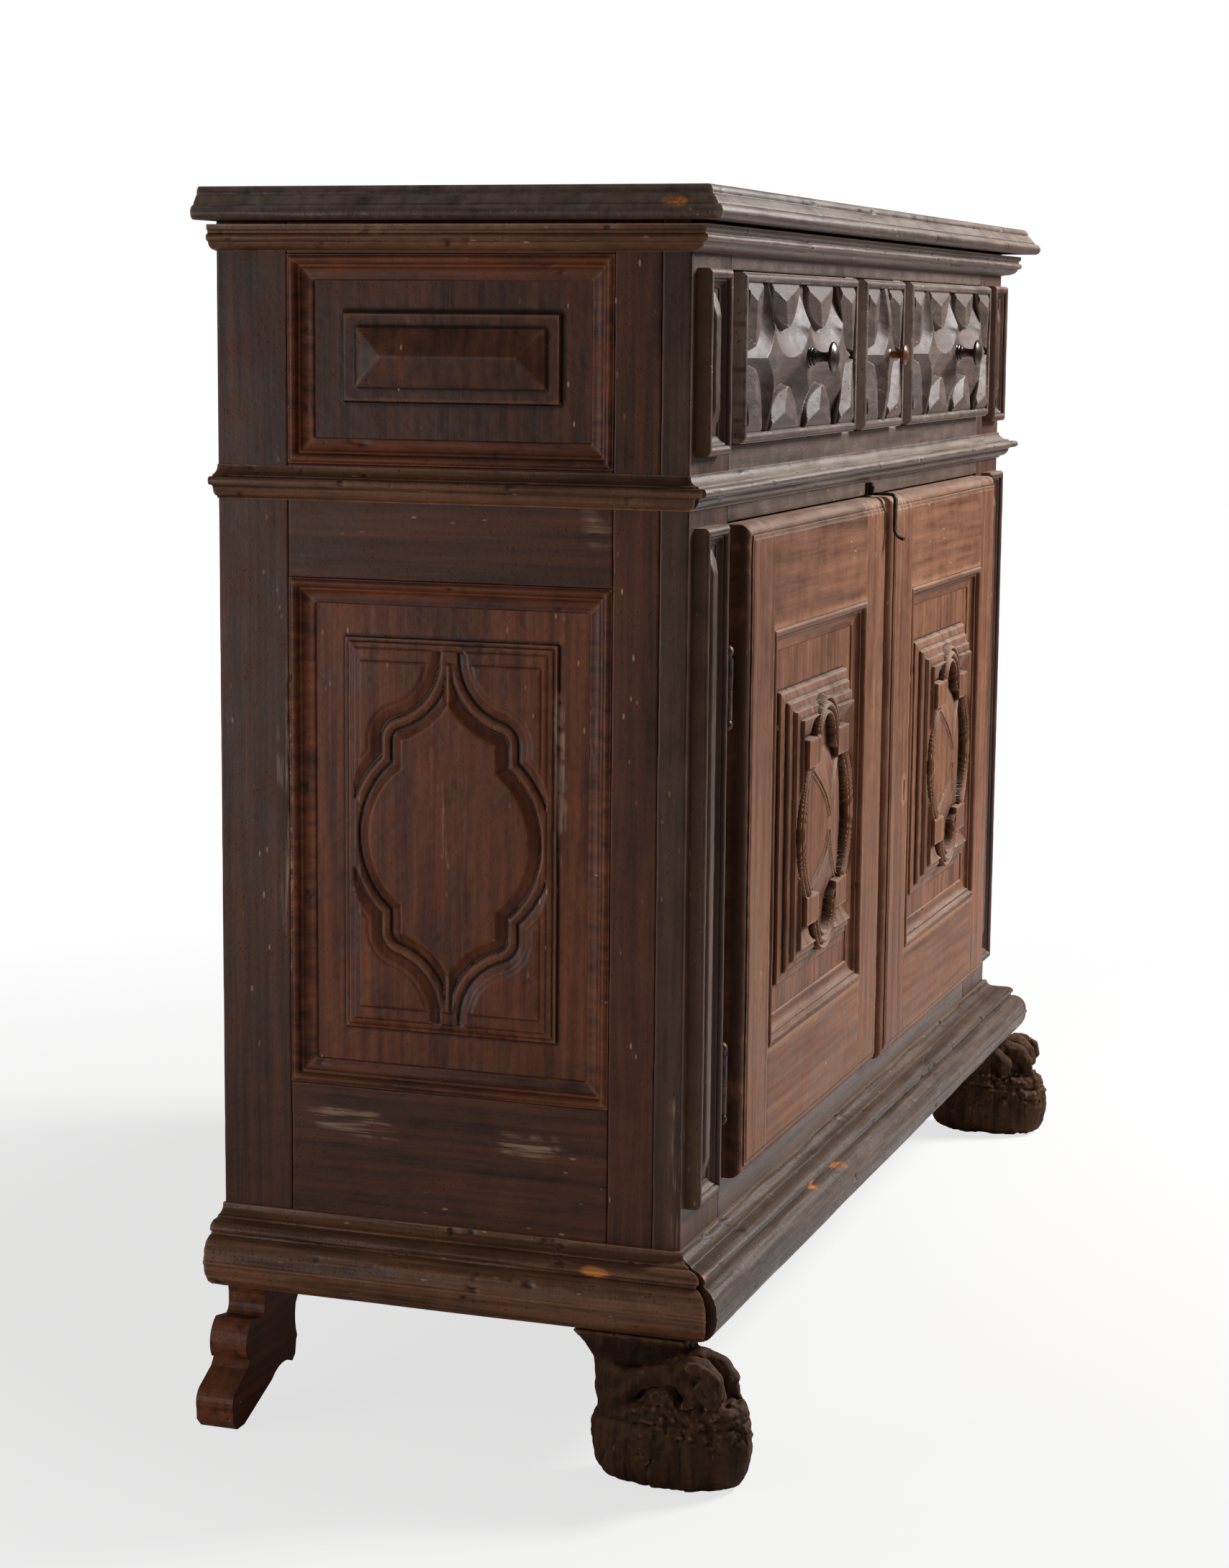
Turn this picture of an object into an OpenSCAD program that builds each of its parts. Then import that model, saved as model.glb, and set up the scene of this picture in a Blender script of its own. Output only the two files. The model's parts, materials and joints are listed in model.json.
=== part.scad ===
// Credenza with three carved drawers over a pair of carved doors, on paw and bracket feet.
// Millimetres. X runs along the front, Y from front to back, Z up, floor at Z = 0.

/* [Carcass] */
// Width of the carcass over its side frames
body_w = 1130; // [1020:1:1300]
// Depth of the carcass from front frame to back
body_d = 408; // [380:1:480]
// Thickness of the boards of the front and side frames
frame_t = 24; // [20:1:28]
// Thickness of the back boards
back_t = 12; // [8:1:16]
// Number of back boards
back_n = 5; // [3:1:7]
// Thickness of the bottom board and the shelf
board_t = 18; // [14:1:22]

/* [Heights] */
// Height of the feet
foot_h = 115; // [95:1:140]
// Height of the base moulding
base_h = 67; // [60:1:80]
// Height from the base moulding to the waist moulding
lower_h = 599; // [560:1:680]
// Height of the waist moulding
waist_h = 28; // [26:1:32]
// Height from the waist moulding to the cornice
upper_h = 173; // [168:1:200]
// Height of the cornice moulding
cornice_h = 21; // [19:1:24]
// Gap between the cornice moulding and the top board
cornice_gap = 3; // [1:0.5:6]
// Thickness of the top board
top_t = 27; // [24:1:32]

/* [Mouldings] */
// How far the top board stands out at the front and sides
top_out = 36; // [30:1:44]
// How far the top board stands out behind
top_back = 5; // [0:1:10]
// How far the cornice stands out
cornice_out = 19; // [15:1:24]
// How far the waist moulding stands out
waist_out = 20; // [17:1:24]
// How far the base moulding stands out
base_out = 44; // [38:1:50]
// Gap at each mitred corner
mitre_gap = 0.2; // [0.1:0.05:0.5]
// Hairline gap between members that are glued edge to edge
seam = 0.1; // [0.05:0.05:0.3]

/* [Front frame] */
// Width of each front stile
stile_w = 104; // [98:1:125]
// Height of the top rail above the drawers
top_rail_h = 36; // [30:1:42]
// Height of the waist rail between drawers and doors
waist_rail_h = 62; // [54:1:72]
// Height of the doors' sill above the base moulding
sill_h = 32; // [22:1:44]
// Width of each upright between the drawers
divider_w = 27; // [20:1:34]
// Width of the centre drawer's opening
centre_w = 151; // [130:1:180]

/* [Side frames] */
// Width of each side stile
side_stile_w = 63; // [55:1:72]
// Height of the side frame's top rail
side_top_h = 26; // [20:1:34]
// Height of the side frame's waist rail
side_waist_h = 93; // [80:1:110]
// Height of the side frame's bottom rail
side_bottom_h = 178; // [150:1:200]
// Width of the applied moulding round a side panel
side_mould_w = 21; // [16:1:25]
// Thickness of a side panel
side_panel_t = 8; // [6:0.5:10]
// Depth of the side panel's ground below the frame
side_ground = 8; // [6:0.5:10]
// Margin between the moulding and the raised field of a side panel
side_margin = 26; // [20:1:30]
// How far the raised field of a side panel stands up
side_raise = 6; // [4:0.5:7]

/* [Doors] */
// Clearance round each door
door_gap = 2; // [1:0.25:3]
// Thickness of the door frame
door_t = 28; // [26:1:32]
// How far the left door stands in front of the front frame
door_proud = 20; // [16:1:22]
// How much further the right door stands out
door_step = 4; // [0:0.5:5]
// Width of the stile that carries the hinges
hinge_stile_w = 72; // [64:1:90]
// Width of the stile at the meeting line
meet_stile_w = 78; // [66:1:92]
// Height of the door's top rail
door_top_h = 92; // [80:1:104]
// Height of the door's bottom rail
door_bottom_h = 96; // [84:1:110]
// Width of the moulding worked on the door's edges
door_edge_w = 13; // [10:1:16]
// Width of the mitred moulding in the door's recess
recess_w = 22; // [16:1:26]
// Depth of the recess below the door's face
recess_d = 10; // [8:0.5:12]
// Thickness of the door panel
panel_t = 12; // [8:1:14]
// Margin between the recess moulding and the carved field at the sides
field_side = 22; // [19:1:32]
// Margin between the recess moulding and the carved field above and below
field_end = 31; // [25:1:40]

/* [Hinges] */
// Diameter of the hinge knuckles
knuckle_d = 10; // [9:0.5:11]
// Diameter of the hinge pins
pin_d = 5; // [4:0.5:6]
// Running clearance between pin and knuckle, on the radius
pin_gap = 0.05; // [0.03:0.01:0.1]
// Distance of the pin from the door's edge
pin_side = 20; // [17:1:24]
// Distance of the pin in front of the front frame
pin_front = 6.5; // [6:0.5:9]
// Length of one knuckle
knuckle_l = 25; // [18:1:32]
// Thickness of the hinge leaves
leaf_t = 2; // [1.5:0.5:3]
// Depth of the leaves in the wood
leaf_in = 18; // [12:1:22]
// Height of the lower hinges above the doors' sill
hinge_low = 62; // [40:1:100]
// Height of the upper hinges below the doors' top
hinge_high = 160; // [100:1:190]
// Diameter of the hinges' ball ends
ball_d = 11; // [9:0.5:12]

/* [Drawers] */
// Clearance round each drawer
drawer_gap = 1.5; // [1:0.25:2.5]
// How far a drawer front stands in front of the frame
drawer_proud = 13; // [10:1:15]
// Thickness of a drawer front
drawer_front_t = 24; // [22:1:28]
// Width of the roll at a drawer front's edge
drawer_roll = 6; // [4:0.5:8]
// Thickness of the drawers' sides, back and bottom
drawer_wall = 10; // [7:0.5:12]
// Height of the drawers' sides
drawer_side_h = 112; // [90:1:125]
// Space behind the drawers
drawer_back_gap = 24; // [14:1:40]
// Diameter of the knobs' discs
knob_d = 24; // [20:1:28]
// How far the knobs stand out of the drawer fronts
knob_l = 33; // [26:1:40]

/* [Pilasters] */
// Width of a pilaster frame
pilaster_w = 60; // [50:1:64]
// Distance of a pilaster frame from the carcass corner
pilaster_in = 15; // [10:1:24]
// How far a pilaster frame stands out
pilaster_t = 12; // [8:1:14]
// Width of the pilaster frame's own members
pilaster_bar = 15; // [11:1:17]
// Gap above and below each pilaster frame
pilaster_end = 14; // [8:1:20]

/* [Lock and hook] */
// Height of the lock above the doors' sill
lock_up = 260; // [200:1:320]
// Distance of the keyhole from the meeting line
key_in = 66; // [50:1:72]
// Width of the keyhole
key_w = 4; // [3:0.5:5]
// Height of the keyhole
key_h = 21; // [14:1:26]
// Height of the lock bolt
bolt_h = 13; // [10:1:18]
// Thickness of the lock bolt
bolt_t = 7; // [5:0.5:9]
// Width of the iron hook's strap
hook_w = 7; // [5:0.5:9]
// Thickness of the iron hook's strap
hook_t = 2.5; // [2:0.5:3]
// Length that the hook hangs below its pin
hook_l = 50; // [40:1:60]

/* [Feet] */
// Thickness of the rear bracket feet
rear_foot_t = 34; // [26:1:44]
// Width of each lion's paw
paw_w = 80; // [72:1:92]
// How far a paw stands outside the carcass side
paw_out = 68; // [60:1:76]
// How far a paw stands in front of the carcass
paw_front = 72; // [64:1:80]

/* [Hidden] */
$fn = 48;

dark_wood = [0.22, 0.13, 0.09];
front_wood = [0.40, 0.27, 0.21];
door_wood = [0.47, 0.31, 0.23];
inside_wood = [0.50, 0.38, 0.27];
paw_wood = [0.15, 0.10, 0.08];
iron = [0.12, 0.11, 0.10];

// Planes of the carcass before it is centred on its whole depth
side_x = body_w / 2;
front_y = -body_d / 2;
rear_y = body_d / 2;
centre_shift = (paw_front - top_back) / 2;

// Levels
base_top = foot_h + base_h;
waist_z = base_top + lower_h;
upper_z = waist_z + waist_h;
cornice_z = upper_z + upper_h;
top_z = cornice_z + cornice_h + cornice_gap;
open_x = side_x - stile_w;
door_z0 = base_top + sill_h;
drawer_z1 = top_z - top_rail_h;
drawer_z0 = upper_z + 20;
door_z1 = drawer_z0 - waist_rail_h;
inner_x = side_x - frame_t;
inner_y = rear_y - back_t;

// Doors, measured from the front plane towards the back
door_x0 = door_gap;
door_x1 = open_x - door_gap;
door_lo = door_z0 + door_gap;
door_hi = door_z1 - door_gap;
recess_x0 = door_x0 + meet_stile_w;
recess_x1 = door_x1 - hinge_stile_w;
recess_z0 = door_lo + door_bottom_h;
recess_z1 = door_hi - door_top_h;
recess_cx = (recess_x0 + recess_x1) / 2;
recess_cz = (recess_z0 + recess_z1) / 2;
field_w = recess_x1 - recess_x0 - 2 * (recess_w + field_side);
field_h = recess_z1 - recess_z0 - 2 * (recess_w + field_end);
ring_r = field_w / 2 - 13.5;
ring_w = 18;
arch_r = 45;
arch_z = field_h / 2 - arch_r - 16.5;
pin_x = door_x1 + pin_side;
knuckle_gap = 0.3;
hinge_z_low = door_z0 + hinge_low;
hinge_z_high = door_z1 - hinge_high;

// Drawers
centre_x = centre_w / 2;
side_drawer_x0 = centre_x + divider_w;
drawer_lo = drawer_z0 + drawer_gap;
drawer_hi = drawer_z1 - drawer_gap;
runner_h = drawer_z0 - upper_z;
guide_h = 18;

// Side panels
side_open_y0 = front_y + side_stile_w;
side_open_y1 = rear_y - side_stile_w;
upper_open_z0 = upper_z + 2;
upper_open_z1 = top_z - side_top_h;
lower_open_z0 = foot_h + side_bottom_h;
lower_open_z1 = upper_open_z0 - side_waist_h;

// How far a carved layer runs into the wood behind it
bed = 1;

// Lock and hook
lock_z = door_z0 + lock_up;
lock_plate_t = 3;
lock_l = 80;
lock_edge = 4;
lock_side = 14;
hook_pin_z = door_z1 + 6;
hook_x = -(door_gap + hook_w + 1);
hook_back = 2.6;

// Points along an arc about (cx, cz)
function arc(cx, cz, r, a0, a1, n = 8) =
    [for (i = [0 : n]) let (a = a0 + (a1 - a0) * i / n) [cx + r * cos(a), cz + r * sin(a)]];

// A quarter hollow that falls from (x0, z0) to (x1, z1), upright at its start
function hollow(x0, z0, x1, z1, n = 6) =
    [for (i = [0 : n]) let (a = 90 * i / n) [x1 - (x1 - x0) * cos(a), z0 - (z0 - z1) * sin(a)]];

// A quarter round that falls from (x0, z0) to (x1, z1), upright at its end
function round_over(x0, z0, x1, z1, n = 6) =
    [for (i = [0 : n]) let (a = 90 * i / n) [x0 + (x1 - x0) * sin(a), z1 + (z0 - z1) * cos(a)]];

// A quarter round that turns in underneath, from (x0, z0) in to (x1, z1), upright at its start
function under_round(x0, z0, x1, z1, n = 6) =
    [for (i = [0 : n]) let (a = 90 * i / n) [x1 + (x0 - x1) * cos(a), z0 - (z0 - z1) * sin(a)]];

// The top board's edge as [distance out, height], from its upper edge down to its underside
function top_profile(out, t) = concat(
    [[0, t], [out - 26, t]],
    round_over(out - 26, t, out - 19, t - 7, 5),
    [[out - 19, t - 10], [out - 17, t - 11.5]],
    round_over(out - 17, t - 11.5, out - 3, t - 17, 5),
    round_over(out - 3, t - 17, out, t - 21, 3),
    [[out - 2, t - 23], [out - 8, t - 25], [out - 10, 0]]
);

// The cornice from its top down: fascia, torus and hollow
function cornice_profile(out, h) = concat(
    [[out - 1, h], [out - 1, h - 4], [out - 3, h - 5], [out - 3, h - 7.5]],
    arc(out - 3, h - 10.5, 3, 80, -80, 6),
    hollow(out - 4, h - 14, 2, 0.5, 5),
    [[2, 0]]
);

// The waist moulding from its top down: hollow, half round and lower hollow
function waist_profile(out, h) = concat(
    hollow(1.5, h, out - 9, h - 8, 5),
    [[out - 9, h - 9.5]],
    arc(out - 3.5, h - 13, 3.5, 110, -110, 8),
    [[out - 7, h - 17]],
    hollow(out - 9, h - 18, 3, 2, 5),
    [[2, 0]]
);

// The base moulding from its top down: hollow, quarter round, torus and lower round
function base_profile(out, h) = concat(
    hollow(4, h, 13, h - 8, 5),
    [[15, h - 8.5], [15, h - 10]],
    round_over(20, h - 10, out - 14, h - 16, 5),
    [[out - 14, h - 17.5], [out - 16, h - 18.5], [out - 16, h - 21]],
    round_over(out - 16, h - 21, out - 1, h - 39, 8),
    [[out - 1, h - 40], [out, h - 41], [out, h - 43], [out - 1, h - 44]],
    under_round(out - 1, h - 44, out - 26, 0, 7)
);

// Turns a profile of [out, height] into a closed section against the carcass
function closed(profile) = concat([[0, profile[0][1]]], profile, [[0, profile[len(profile) - 1][1]]]);

// Plan of a mitred front run that stands out by p
module front_plan(p) {
    g = mitre_gap / 2;
    polygon([
        [-side_x - p + g, front_y - p], [side_x + p - g, front_y - p],
        [side_x - g, front_y], [-side_x + g, front_y]
    ]);
}

// Plan of the left side run, back to the rear plane
module side_plan(p) {
    g = mitre_gap / 2;
    polygon([
        [-side_x - p, front_y - p + g], [-side_x, front_y + g],
        [-side_x, rear_y], [-side_x - p, rear_y]
    ]);
}

module front_run(profile, out, h, z) {
    translate([0, 0, z]) intersection() {
        translate([-side_x - out, front_y, 0]) rotate([90, 0, 90])
            linear_extrude(body_w + 2 * out)
                polygon([for (p = closed(profile)) [-p[0], p[1]]]);
        translate([0, 0, -1]) linear_extrude(h + 2) front_plan(out);
    }
}

module side_run(profile, out, h, z) {
    translate([0, 0, z]) intersection() {
        translate([-side_x, rear_y, 0]) rotate([90, 0, 0])
            linear_extrude(body_d + out)
                polygon([for (p = closed(profile)) [-p[0], p[1]]]);
        translate([0, 0, -1]) linear_extrude(h + 2) side_plan(out);
    }
}

module both_sides() {
    children();
    mirror([1, 0, 0]) children();
}

// A block from one corner to the other
module block(a, b) {
    translate(a) cube([b[0] - a[0], b[1] - a[1], b[2] - a[2]]);
}

module top_board() {
    color(dark_wood) translate([0, 0, top_z]) intersection() {
        translate([0, rear_y + top_back, 0]) rotate([90, 0, 0])
            linear_extrude(body_d + top_back + top_out)
                polygon(concat(
                    [for (p = top_profile(top_out, top_t)) [side_x + p[0], p[1]]],
                    [for (i = [len(top_profile(top_out, top_t)) - 1 : -1 : 0])
                        let (p = top_profile(top_out, top_t)[i]) [-side_x - p[0], p[1]]]
                ));
        translate([-side_x - top_out, 0, 0]) rotate([90, 0, 90])
            linear_extrude(body_w + 2 * top_out)
                polygon(concat(
                    [for (p = top_profile(top_out, top_t)) [front_y - p[0], p[1]]],
                    [[rear_y + top_back, 0], [rear_y + top_back, top_t]]
                ));
    }
}

module cornice_front() {
    color(front_wood) front_run(cornice_profile(cornice_out, cornice_h), cornice_out, cornice_h, cornice_z);
}

module cornice_sides() {
    color(dark_wood) both_sides()
        side_run(cornice_profile(cornice_out, cornice_h), cornice_out, cornice_h, cornice_z);
}

module waist_front() {
    color(front_wood) front_run(waist_profile(waist_out, waist_h), waist_out, waist_h, waist_z);
}

module waist_sides() {
    color(dark_wood) both_sides()
        side_run(waist_profile(waist_out, waist_h), waist_out, waist_h, waist_z);
}

module base_front() {
    color(front_wood) front_run(base_profile(base_out, base_h), base_out, base_h, foot_h);
}

module base_sides() {
    color(dark_wood) both_sides()
        side_run(base_profile(base_out, base_h), base_out, base_h, foot_h);
}

// Slots in a front stile for the hinge leaves
module stile_slots() {
    for (z = [hinge_z_low, hinge_z_high])
        block([pin_x - leaf_t / 2 - 0.1, front_y - 1, z - 0.1],
            [pin_x + leaf_t / 2 + 0.1, front_y + leaf_in, z + knuckle_l + 0.1]);
}

module front_stile() {
    difference() {
        block([open_x, front_y, foot_h], [side_x, front_y + frame_t, top_z]);
        stile_slots();
    }
}

module front_stile_left() {
    color(front_wood) mirror([1, 0, 0]) front_stile();
}

module front_stile_right() {
    color(front_wood) front_stile();
}

module front_top_rail() {
    color(front_wood) block([-open_x, front_y, drawer_z1], [open_x, front_y + frame_t, top_z]);
}

module front_waist_rail() {
    color(front_wood) block([-open_x, front_y, door_z1], [open_x, front_y + frame_t, drawer_z0]);
}

module front_base_rail() {
    color(front_wood) block([-open_x, front_y, foot_h], [open_x, front_y + frame_t, door_z0]);
}

module drawer_dividers() {
    color(front_wood) both_sides()
        block([centre_x, front_y, drawer_z0], [centre_x + divider_w, front_y + frame_t, drawer_z1]);
}

module side_frame() {
    x0 = -side_x;
    x1 = -inner_x;
    block([x0, front_y + frame_t, foot_h], [x1, side_open_y0, top_z]);
    block([x0, side_open_y1, foot_h], [x1, rear_y, top_z]);
    y0 = side_open_y0 + seam;
    y1 = side_open_y1 - seam;
    block([x0, y0, upper_open_z1], [x1, y1, top_z]);
    block([x0, y0, lower_open_z1], [x1, y1, upper_open_z0]);
    block([x0, y0, foot_h], [x1, y1, lower_open_z0]);
}

module side_frame_left() {
    color(dark_wood) side_frame();
}

module side_frame_right() {
    color(dark_wood) mirror([1, 0, 0]) side_frame();
}

// A solid that rises from a rectangle in Y and Z: extruded along Z from a section in Y, cut by
// a section in Z. Sections are [position, height above the ground], and grow towards -X.
module raised(section_y, section_z, y0, y1, z0, z1) {
    intersection() {
        translate([0, 0, z0]) linear_extrude(z1 - z0)
            polygon([for (p = section_y) [-p[1], p[0]]]);
        translate([0, y1, 0]) rotate([90, 0, 0]) linear_extrude(y1 - y0)
            polygon([for (p = section_z) [-p[1], p[0]]]);
    }
}

// Section of a stepped field between a and b, with a step s, a tread w and a slope to height h over r
function stepped(a, b, s, w, r, h) = [
    [a, -bed], [a, s], [a + w, s], [a + w, s + 1.5], [a + w + r, h],
    [b - w - r, h], [b - w, s + 1.5], [b - w, s], [b, s], [b, -bed]
];

module side_panel_board(z0, z1) {
    block([-side_x + side_ground, side_open_y0, z0],
        [-side_x + side_ground + side_panel_t, side_open_y1, z1]);
}

module side_upper_panel() {
    margin = side_mould_w + side_margin;
    y0 = side_open_y0 + margin;
    y1 = side_open_y1 - margin;
    z0 = upper_open_z0 + margin;
    z1 = upper_open_z1 - margin;
    half = (z1 - z0) / 2;
    tread = 10;
    slope = half - tread;
    ridge = side_raise + 2;
    side_panel_board(upper_open_z0, upper_open_z1);
    translate([-side_x + side_ground, 0, 0])
        raised(stepped(y0, y1, 3, tread, slope, ridge), stepped(z0, z1, 3, tread, slope - 0.01, ridge),
            y0, y1, z0, z1);
}

module side_upper_panel_left() {
    color(dark_wood) side_upper_panel();
}

module side_upper_panel_right() {
    color(dark_wood) mirror([1, 0, 0]) side_upper_panel();
}

// Outline of the side panel's medallion about its centre, grown by g: a disc with square ears
// above and below, drawn in by hollow curves to a narrow tip
module medallion(g) {
    disc = 70;
    ear_x = 41;
    ear_z = 80;
    tip = 107 + 3 * g;
    circle(disc + g);
    square([2 * (ear_x + g), 2 * (ear_z + g)], center = true);
    for (s = [0, 1]) mirror([0, s]) difference() {
        translate([-ear_x, 0]) square([2 * ear_x, tip]);
        for (t = [-1, 1]) translate([t * ear_x, ear_z + ear_x]) circle(ear_x - g);
    }
}

module side_lower_panel() {
    margin = side_mould_w + side_margin;
    y0 = side_open_y0 + margin;
    y1 = side_open_y1 - margin;
    z0 = lower_open_z0 + margin;
    z1 = lower_open_z1 - margin;
    tread = 9;
    step = 3;
    side_panel_board(lower_open_z0, lower_open_z1);
    translate([-side_x + side_ground, 0, 0]) {
        block([-step, y0, z0], [bed, y1, z1]);
        difference() {
            block([-side_raise - 1, y0 + tread, z0 + tread], [bed - step, y1 - tread, z1 - tread]);
            translate([2 * bed - step, 0, (z0 + z1) / 2]) rotate([90, 0, -90]) linear_extrude(20) medallion(13);
        }
        translate([bed - step, 0, (z0 + z1) / 2]) rotate([90, 0, -90])
            linear_extrude(side_raise - step + bed) medallion(0);
    }
}

module side_lower_panel_left() {
    color(dark_wood) side_lower_panel();
}

module side_lower_panel_right() {
    color(dark_wood) mirror([1, 0, 0]) side_lower_panel();
}

// Section of a moulding that falls from the frame at 0 to the panel's ground at w, [across, up from ground]
function falling(w, d) = concat(
    [[0, 0], [0, d + 0.5]],
    arc(4, d - 1.5, 3.5, 150, 20, 6),
    [[8, d - 2.5], [9.5, d - 2.5]],
    hollow(10.5, d - 3, w - 3.5, 2, 5),
    [[w - 1, 2], [w, 1], [w, 0]]
);

// One bar of a mitred frame. It lies along +X from 0 to len with its outer edge on Y = 0
// and its section towards +Y, and stands up along +Z.
module mitred_bar(section, len, w) {
    g = mitre_gap / 2;
    intersection() {
        rotate([90, 0, 90]) linear_extrude(len) polygon(section);
        translate([0, 0, -1]) linear_extrude(60)
            polygon([[g, 0], [len - g, 0], [len - w - g, w], [w + g, w]]);
    }
}

// A mitred frame of four bars round a rectangle a by b, centred, standing up along +Z
module mitred_frame(section, a, b, w) {
    for (s = [0, 1]) rotate(180 * s) {
        translate([-a / 2, -b / 2, 0]) mitred_bar(section, a, w);
        rotate(90) translate([-b / 2, -a / 2, 0]) mitred_bar(section, b, w);
    }
}

module side_mould_frame(z0, z1) {
    translate([-side_x + side_ground, 0, (z0 + z1) / 2]) rotate([90, 0, -90])
        mitred_frame(falling(side_mould_w, side_ground), side_open_y1 - side_open_y0, z1 - z0, side_mould_w);
}

module side_mouldings() {
    side_mould_frame(upper_open_z0, upper_open_z1);
    side_mould_frame(lower_open_z0, lower_open_z1);
}

module side_mouldings_left() {
    color(dark_wood) side_mouldings();
}

module side_mouldings_right() {
    color(dark_wood) mirror([1, 0, 0]) side_mouldings();
}

module back_boards() {
    pitch = 2 * inner_x / back_n;
    color(inside_wood) for (i = [0 : back_n - 1])
        block([-inner_x + i * pitch + 0.2, inner_y, foot_h], [-inner_x + (i + 1) * pitch - 0.2, rear_y, top_z]);
}

module bottom_board() {
    color(inside_wood)
        block([-inner_x, front_y + frame_t, door_z0 - board_t], [inner_x, inner_y, door_z0]);
}

shelf_z = (door_z0 + door_z1) / 2 - 20;
shelf_front = 70;
cleat_w = board_t;
cleat_h = board_t + 4;

module shelf() {
    color(inside_wood)
        block([-inner_x, front_y + shelf_front, shelf_z], [inner_x, inner_y, shelf_z + board_t]);
}

module shelf_cleats() {
    color(inside_wood) both_sides()
        block([inner_x - cleat_w, front_y + shelf_front, shelf_z - cleat_h], [inner_x, inner_y, shelf_z]);
}

module drawer_runners() {
    y0 = front_y + frame_t;
    wide = 22;
    color(inside_wood) both_sides() {
        block([centre_x - wide, y0, drawer_z0 - runner_h], [side_drawer_x0 + wide, inner_y, drawer_z0]);
        block([centre_x, y0, drawer_z0 + seam], [side_drawer_x0, inner_y, drawer_z0 + guide_h]);
        block([open_x - wide, y0, drawer_z0 - runner_h], [inner_x, inner_y, drawer_z0]);
        block([open_x, y0, drawer_z0 + seam], [inner_x, inner_y, drawer_z0 + guide_h]);
    }
}

// Section across a pilaster frame's member: a roll, a step and a hollow down to the bar, [across, up]
function pilaster_section(w, t) = concat(
    [[0, 0]],
    arc(4, t - 4, 4, 180, 30, 6),
    [[8, t - 3.5], [9, t - 3.5]],
    hollow(9.5, t - 4, w, t - 8, 4),
    [[w, 0]]
);

// A pilaster: a mitred frame round a bar with four bevels and pointed ends
module pilaster(z0, z1) {
    len = z1 - z0;
    slot_w = pilaster_w - 2 * pilaster_bar;
    slot_l = len - 2 * pilaster_bar;
    ground = 3;
    rise = pilaster_t - 3;
    translate([side_x - pilaster_in - pilaster_w / 2, front_y, z0 + len / 2]) rotate([90, 0, 0]) {
        mitred_frame(pilaster_section(pilaster_bar, pilaster_t), pilaster_w, len, pilaster_bar);
        translate([-slot_w / 2 + seam, -slot_l / 2 + seam, 0])
            cube([slot_w - 2 * seam, slot_l - 2 * seam, ground]);
        translate([0, 0, ground]) intersection() {
            translate([0, slot_l / 2, 0]) rotate([90, 0, 0]) linear_extrude(slot_l)
                polygon([[-11, 0], [11, 0], [11, 1], [4, rise - ground], [-4, rise - ground], [-11, 1]]);
            translate([-slot_w / 2, 0, 0]) rotate([90, 0, 90]) linear_extrude(slot_w)
                polygon([
                    [-slot_l / 2 + 3, 0], [slot_l / 2 - 3, 0], [slot_l / 2 - 3, 1],
                    [slot_l / 2 - 22, rise - ground], [-slot_l / 2 + 22, rise - ground], [-slot_l / 2 + 3, 1]
                ]);
        }
    }
}

module pilaster_upper_right() {
    color(front_wood) pilaster(upper_z + pilaster_end, cornice_z - pilaster_end + 2);
}

module pilaster_upper_left() {
    mirror([1, 0, 0]) pilaster_upper_right();
}

module pilaster_lower_right() {
    color(front_wood) pilaster(door_z0 - 1, waist_z - pilaster_end);
}

module pilaster_lower_left() {
    mirror([1, 0, 0]) pilaster_lower_right();
}

// One hinge's fixed half: the pin, its lower knuckle, its leaf in the stile and two ball ends
module hinge_fixed(z) {
    y = front_y - pin_front;
    translate([pin_x, y, z]) {
        cylinder(d = knuckle_d, h = knuckle_l);
        cylinder(d = pin_d, h = 2 * knuckle_l + knuckle_gap * 2);
        translate([0, 0, -ball_d / 2 + 1.5]) sphere(d = ball_d);
        translate([0, 0, 2 * knuckle_l + 2 * knuckle_gap]) {
            cylinder(d = knuckle_d - 2, h = 2);
            translate([0, 0, ball_d / 2]) sphere(d = ball_d);
        }
    }
    block([pin_x - leaf_t / 2, y, z], [pin_x + leaf_t / 2, front_y + leaf_in - 0.2, z + knuckle_l]);
}

module hinge_pins() {
    color(iron) both_sides() {
        hinge_fixed(hinge_z_low);
        hinge_fixed(hinge_z_high);
    }
}

// One hinge's moving half: the upper knuckle and its leaf in the door's edge
module hinge_moving(z) {
    y = front_y - pin_front;
    z0 = z + knuckle_l + knuckle_gap;
    difference() {
        union() {
            translate([pin_x, y, z0]) cylinder(d = knuckle_d, h = knuckle_l);
            block([door_x1 - leaf_in + 0.2, y - leaf_t / 2, z0], [pin_x, y + leaf_t / 2, z0 + knuckle_l]);
        }
        translate([pin_x, y, z0 - 1]) cylinder(d = pin_d + 2 * pin_gap, h = knuckle_l + 2);
    }
}

module door_hinges() {
    hinge_moving(hinge_z_low);
    hinge_moving(hinge_z_high);
}

module door_hinges_left() {
    color(iron) mirror([1, 0, 0]) door_hinges();
}

module door_hinges_right() {
    color(iron) door_hinges();
}

// Section of a door's moulded edge: [in from the edge, forward of the back face], thickness t
function door_edge(t) = concat(
    [[0, 0], [0, t - 11]],
    arc(9, t - 11, 9, 180, 100, 6),
    [[door_edge_w - 4, t - 2], [door_edge_w - 3.5, t - 0.8], [door_edge_w - 1, t - 0.8], [door_edge_w, t]]
);

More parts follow.
